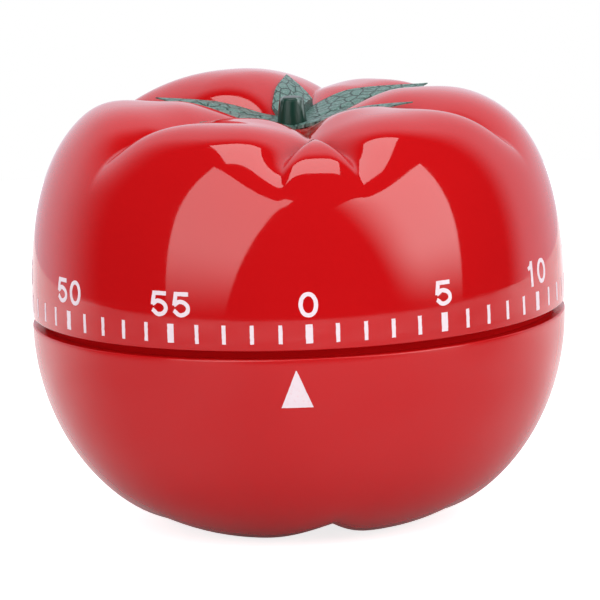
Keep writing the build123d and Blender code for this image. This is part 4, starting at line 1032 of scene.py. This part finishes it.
class TIMER_OT_stage(bpy.types.Operator):
    """Sets up the floor, the white surround, the lamps and the camera"""

    bl_idname = "timer.stage"
    bl_label = "Stage"

    def execute(self, context):
        self.floor(context.scene)
        self.surround(context.scene)
        self.lamps(context.scene.timer_studio)
        self.camera(context.scene)
        context.scene.view_settings.view_transform = "Standard"
        return {"FINISHED"}

    def floor(self, scene):
        """A pale table top that shows white and keeps the shadow."""
        studio, tones = scene.timer_studio, scene.timer_colours
        # Glow of the table to the camera, and to reflections, which show it dim before the timer and bright
        # behind it
        camera_glow, back_glow = 0.8, 0.85
        dim_end, bright_start = -20 * MM, 60 * MM
        finish, tree = empty_finish("white_table_top")
        path, seen = seen_straight(tree)
        white = add_node(tree, "Math", {0: seen, 1: camera_glow}, operation="MULTIPLY")
        place = add_node(tree, "TexCoord").outputs["Object"]
        depth = add_node(tree, "SeparateXYZ", {0: place}).outputs["Y"]
        band = {"From Min": dim_end, "From Max": bright_start, "To Max": back_glow}
        back = add_node(tree, "MapRange", {0: depth, **band})
        mirrored = path["Is Glossy Ray"]
        part = add_node(tree, "Math", {0: mirrored, 1: back, 2: white}, operation="MULTIPLY_ADD")
        glow = add_node(tree, "Emission", {"Color": (1, 1, 1, 1), "Strength": part})
        cloud = add_node(tree, "TexNoise", {"Vector": place, "Scale": per_mm(60)})
        # Reflections see the table top in a darker grey: painted shade in the shells' reflection of it
        plain = {MIX_A: tones.table, MIX_B: tones.table_mirrored}
        pale = add_node(tree, "Mix", {0: mirrored, **plain}, data_type="RGBA")
        clouded = {MIX_A: pale.outputs[MIX_OUT], MIX_B: tones.table_cloud}
        tone = add_node(tree, "Mix", {0: cloud, **clouded}, data_type="RGBA")
        matt = add_node(tree, "BsdfDiffuse", {"Color": tone.outputs[MIX_OUT]})
        both = add_node(tree, "AddShader", {0: glow, 1: matt})
        add_node(tree, "OutputMaterial", {"Surface": both})
        bm = bmesh.new()
        bmesh.ops.create_circle(bm, cap_ends=True, segments=180, radius=studio.table)
        bmesh.ops.translate(bm, verts=bm.verts, vec=(0, 0, -studio.table_gap))
        table = new_object(bm, "table_top", [finish])

    def surround(self, scene):
        """White all round, with a darker room behind the camera that only reflections show."""
        studio = scene.timer_studio
        white, cool_white = (1, 1, 1, 1), (1.0, 0.97, 1.08, 1)
        world = bpy.data.worlds.new("studio")
        scene.world = world
        world.use_nodes = True
        tree = world.node_tree
        tree.nodes.clear()
        path, seen = seen_straight(tree)
        way = add_node(tree, "TexCoord").outputs["Generated"]
        parts = add_node(tree, "SeparateXYZ", {0: way}).outputs
        # The room turns to white towards the back, over a wider band at the far left than elsewhere
        side = add_node(tree, "MapRange", {0: parts["X"], "From Min": -0.75, "From Max": -0.25})
        start = add_node(tree, "MapRange", {0: side, "To Min": 0.05, "To Max": 0.2})
        end = add_node(tree, "MapRange", {0: side, "To Min": 0.72, "To Max": 0.5})
        band = {"From Min": start, "From Max": end, "To Min": studio.room, "To Max": studio.surround}
        room = add_node(tree, "MapRange", {0: parts["Y"], **band}, interpolation_type="SMOOTHSTEP")
        matt = {0: path["Is Glossy Ray"], "To Min": studio.fill, "To Max": 0.0}
        fill = add_node(tree, "MapRange", matt)
        dim = add_node(tree, "Math", {0: room, 1: fill}, operation="ADD")
        level = add_node(tree, "Mix", {"Factor": seen, "A": dim, "B": 1.0})
        # The surround that reflections show is a little cool
        tint = add_node(tree, "Mix", {0: seen, MIX_A: cool_white, MIX_B: white}, data_type="RGBA")
        light = add_node(tree, "Background", {"Color": tint.outputs[MIX_OUT], "Strength": level})
        add_node(tree, "OutputWorld", {"Surface": light})

    def lamps(self, studio):
        """Two softboxes before the timer and one over it."""
        add_lamp(
            "left_softbox",
            studio.left_lamp,
            place=(-0.356, -0.478, 0.178),
            across=(-0.203, 0.35, 0),
            tall=(0.48, 0.279, 0.519),
            low_fade=0.5,
        )
        add_lamp(
            "right_softbox",
            studio.right_lamp,
            place=(0.482, -0.405, 0.144),
            across=(0.157, 0.481, 0),
            tall=(-0.459, 0.15, 0.451),
            low_fade=0.5,
            side_fade=0.6,
        )
        add_lamp(
            "top_softbox",
            studio.top_lamp,
            place=(0, -0.08, 0.85),
            across=(0.6, 0, 0),
            tall=(0, 0.42, 0),
        )

    def camera(self, scene):
        """The camera of the photograph's view."""
        studio = scene.timer_studio
        lens = bpy.data.cameras.new("photo_camera")
        lens.lens = studio.lens
        lens.sensor_width = SENSOR_MM
        lens.clip_start = 0.05
        view = Vector((0, cos(studio.elevation), -sin(studio.elevation)))
        level = Vector((1, 0, 0))
        above = level.cross(view)
        right = level * cos(studio.roll) - above * sin(studio.roll)
        up = above * cos(studio.roll) + level * sin(studio.roll)
        centre = Vector((0, 0, scene.timer_print.stroke_level))
        place = centre - view * studio.distance
        ahead = (centre + right * studio.aim_right - up * studio.aim_down - place).normalized()
        right = (right - ahead * right.dot(ahead)).normalized()
        up = right.cross(ahead)
        turn = Matrix((right, up, -ahead)).transposed().to_4x4()
        camera = bpy.data.objects.new("photo_camera", lens)
        camera.matrix_world = Matrix.Translation(place) @ turn
        scene.collection.objects.link(camera)
        scene.camera = camera


class TIMER_PT_pieces(bpy.types.Panel):
    """Lists the pieces of the timer"""

    bl_label = "Kitchen timer"
    bl_idname = "TIMER_PT_pieces"
    bl_space_type = "VIEW_3D"
    bl_region_type = "UI"
    bl_category = "Timer"

    def draw(self, context):
        for operator in OPERATORS:
            self.layout.operator(operator.bl_idname)


GROUPS = {
    "timer_housing": HousingSizes,
    "timer_calyx": CalyxSizes,
    "timer_print": PrintSizes,
    "timer_colours": FinishColours,
    "timer_studio": StudioSettings,
}
OPERATORS = (
    TIMER_OT_upper_shell,
    TIMER_OT_lower_shell,
    TIMER_OT_calyx,
    TIMER_OT_minute_scale,
    TIMER_OT_pointer,
    TIMER_OT_movement,
    TIMER_OT_stage,
)


def register():
    """Registers the classes and the settings."""
    for name, group in GROUPS.items():
        bpy.utils.register_class(group)
        setattr(bpy.types.Scene, name, PointerProperty(type=group))
    for kind in OPERATORS + (TIMER_PT_pieces,):
        bpy.utils.register_class(kind)


def unregister():
    """Removes what register added."""
    for kind in reversed(OPERATORS + (TIMER_PT_pieces,)):
        bpy.utils.unregister_class(kind)
    for name, group in reversed(GROUPS.items()):
        delattr(bpy.types.Scene, name)
        bpy.utils.unregister_class(group)


def main():
    """Makes every piece and the stage."""
    register()
    bpy.ops.timer.upper_shell()
    bpy.ops.timer.lower_shell()
    bpy.ops.timer.calyx()
    bpy.ops.timer.minute_scale()
    bpy.ops.timer.pointer()
    bpy.ops.timer.movement()
    bpy.ops.timer.stage()


if __name__ == "__main__":
    main()
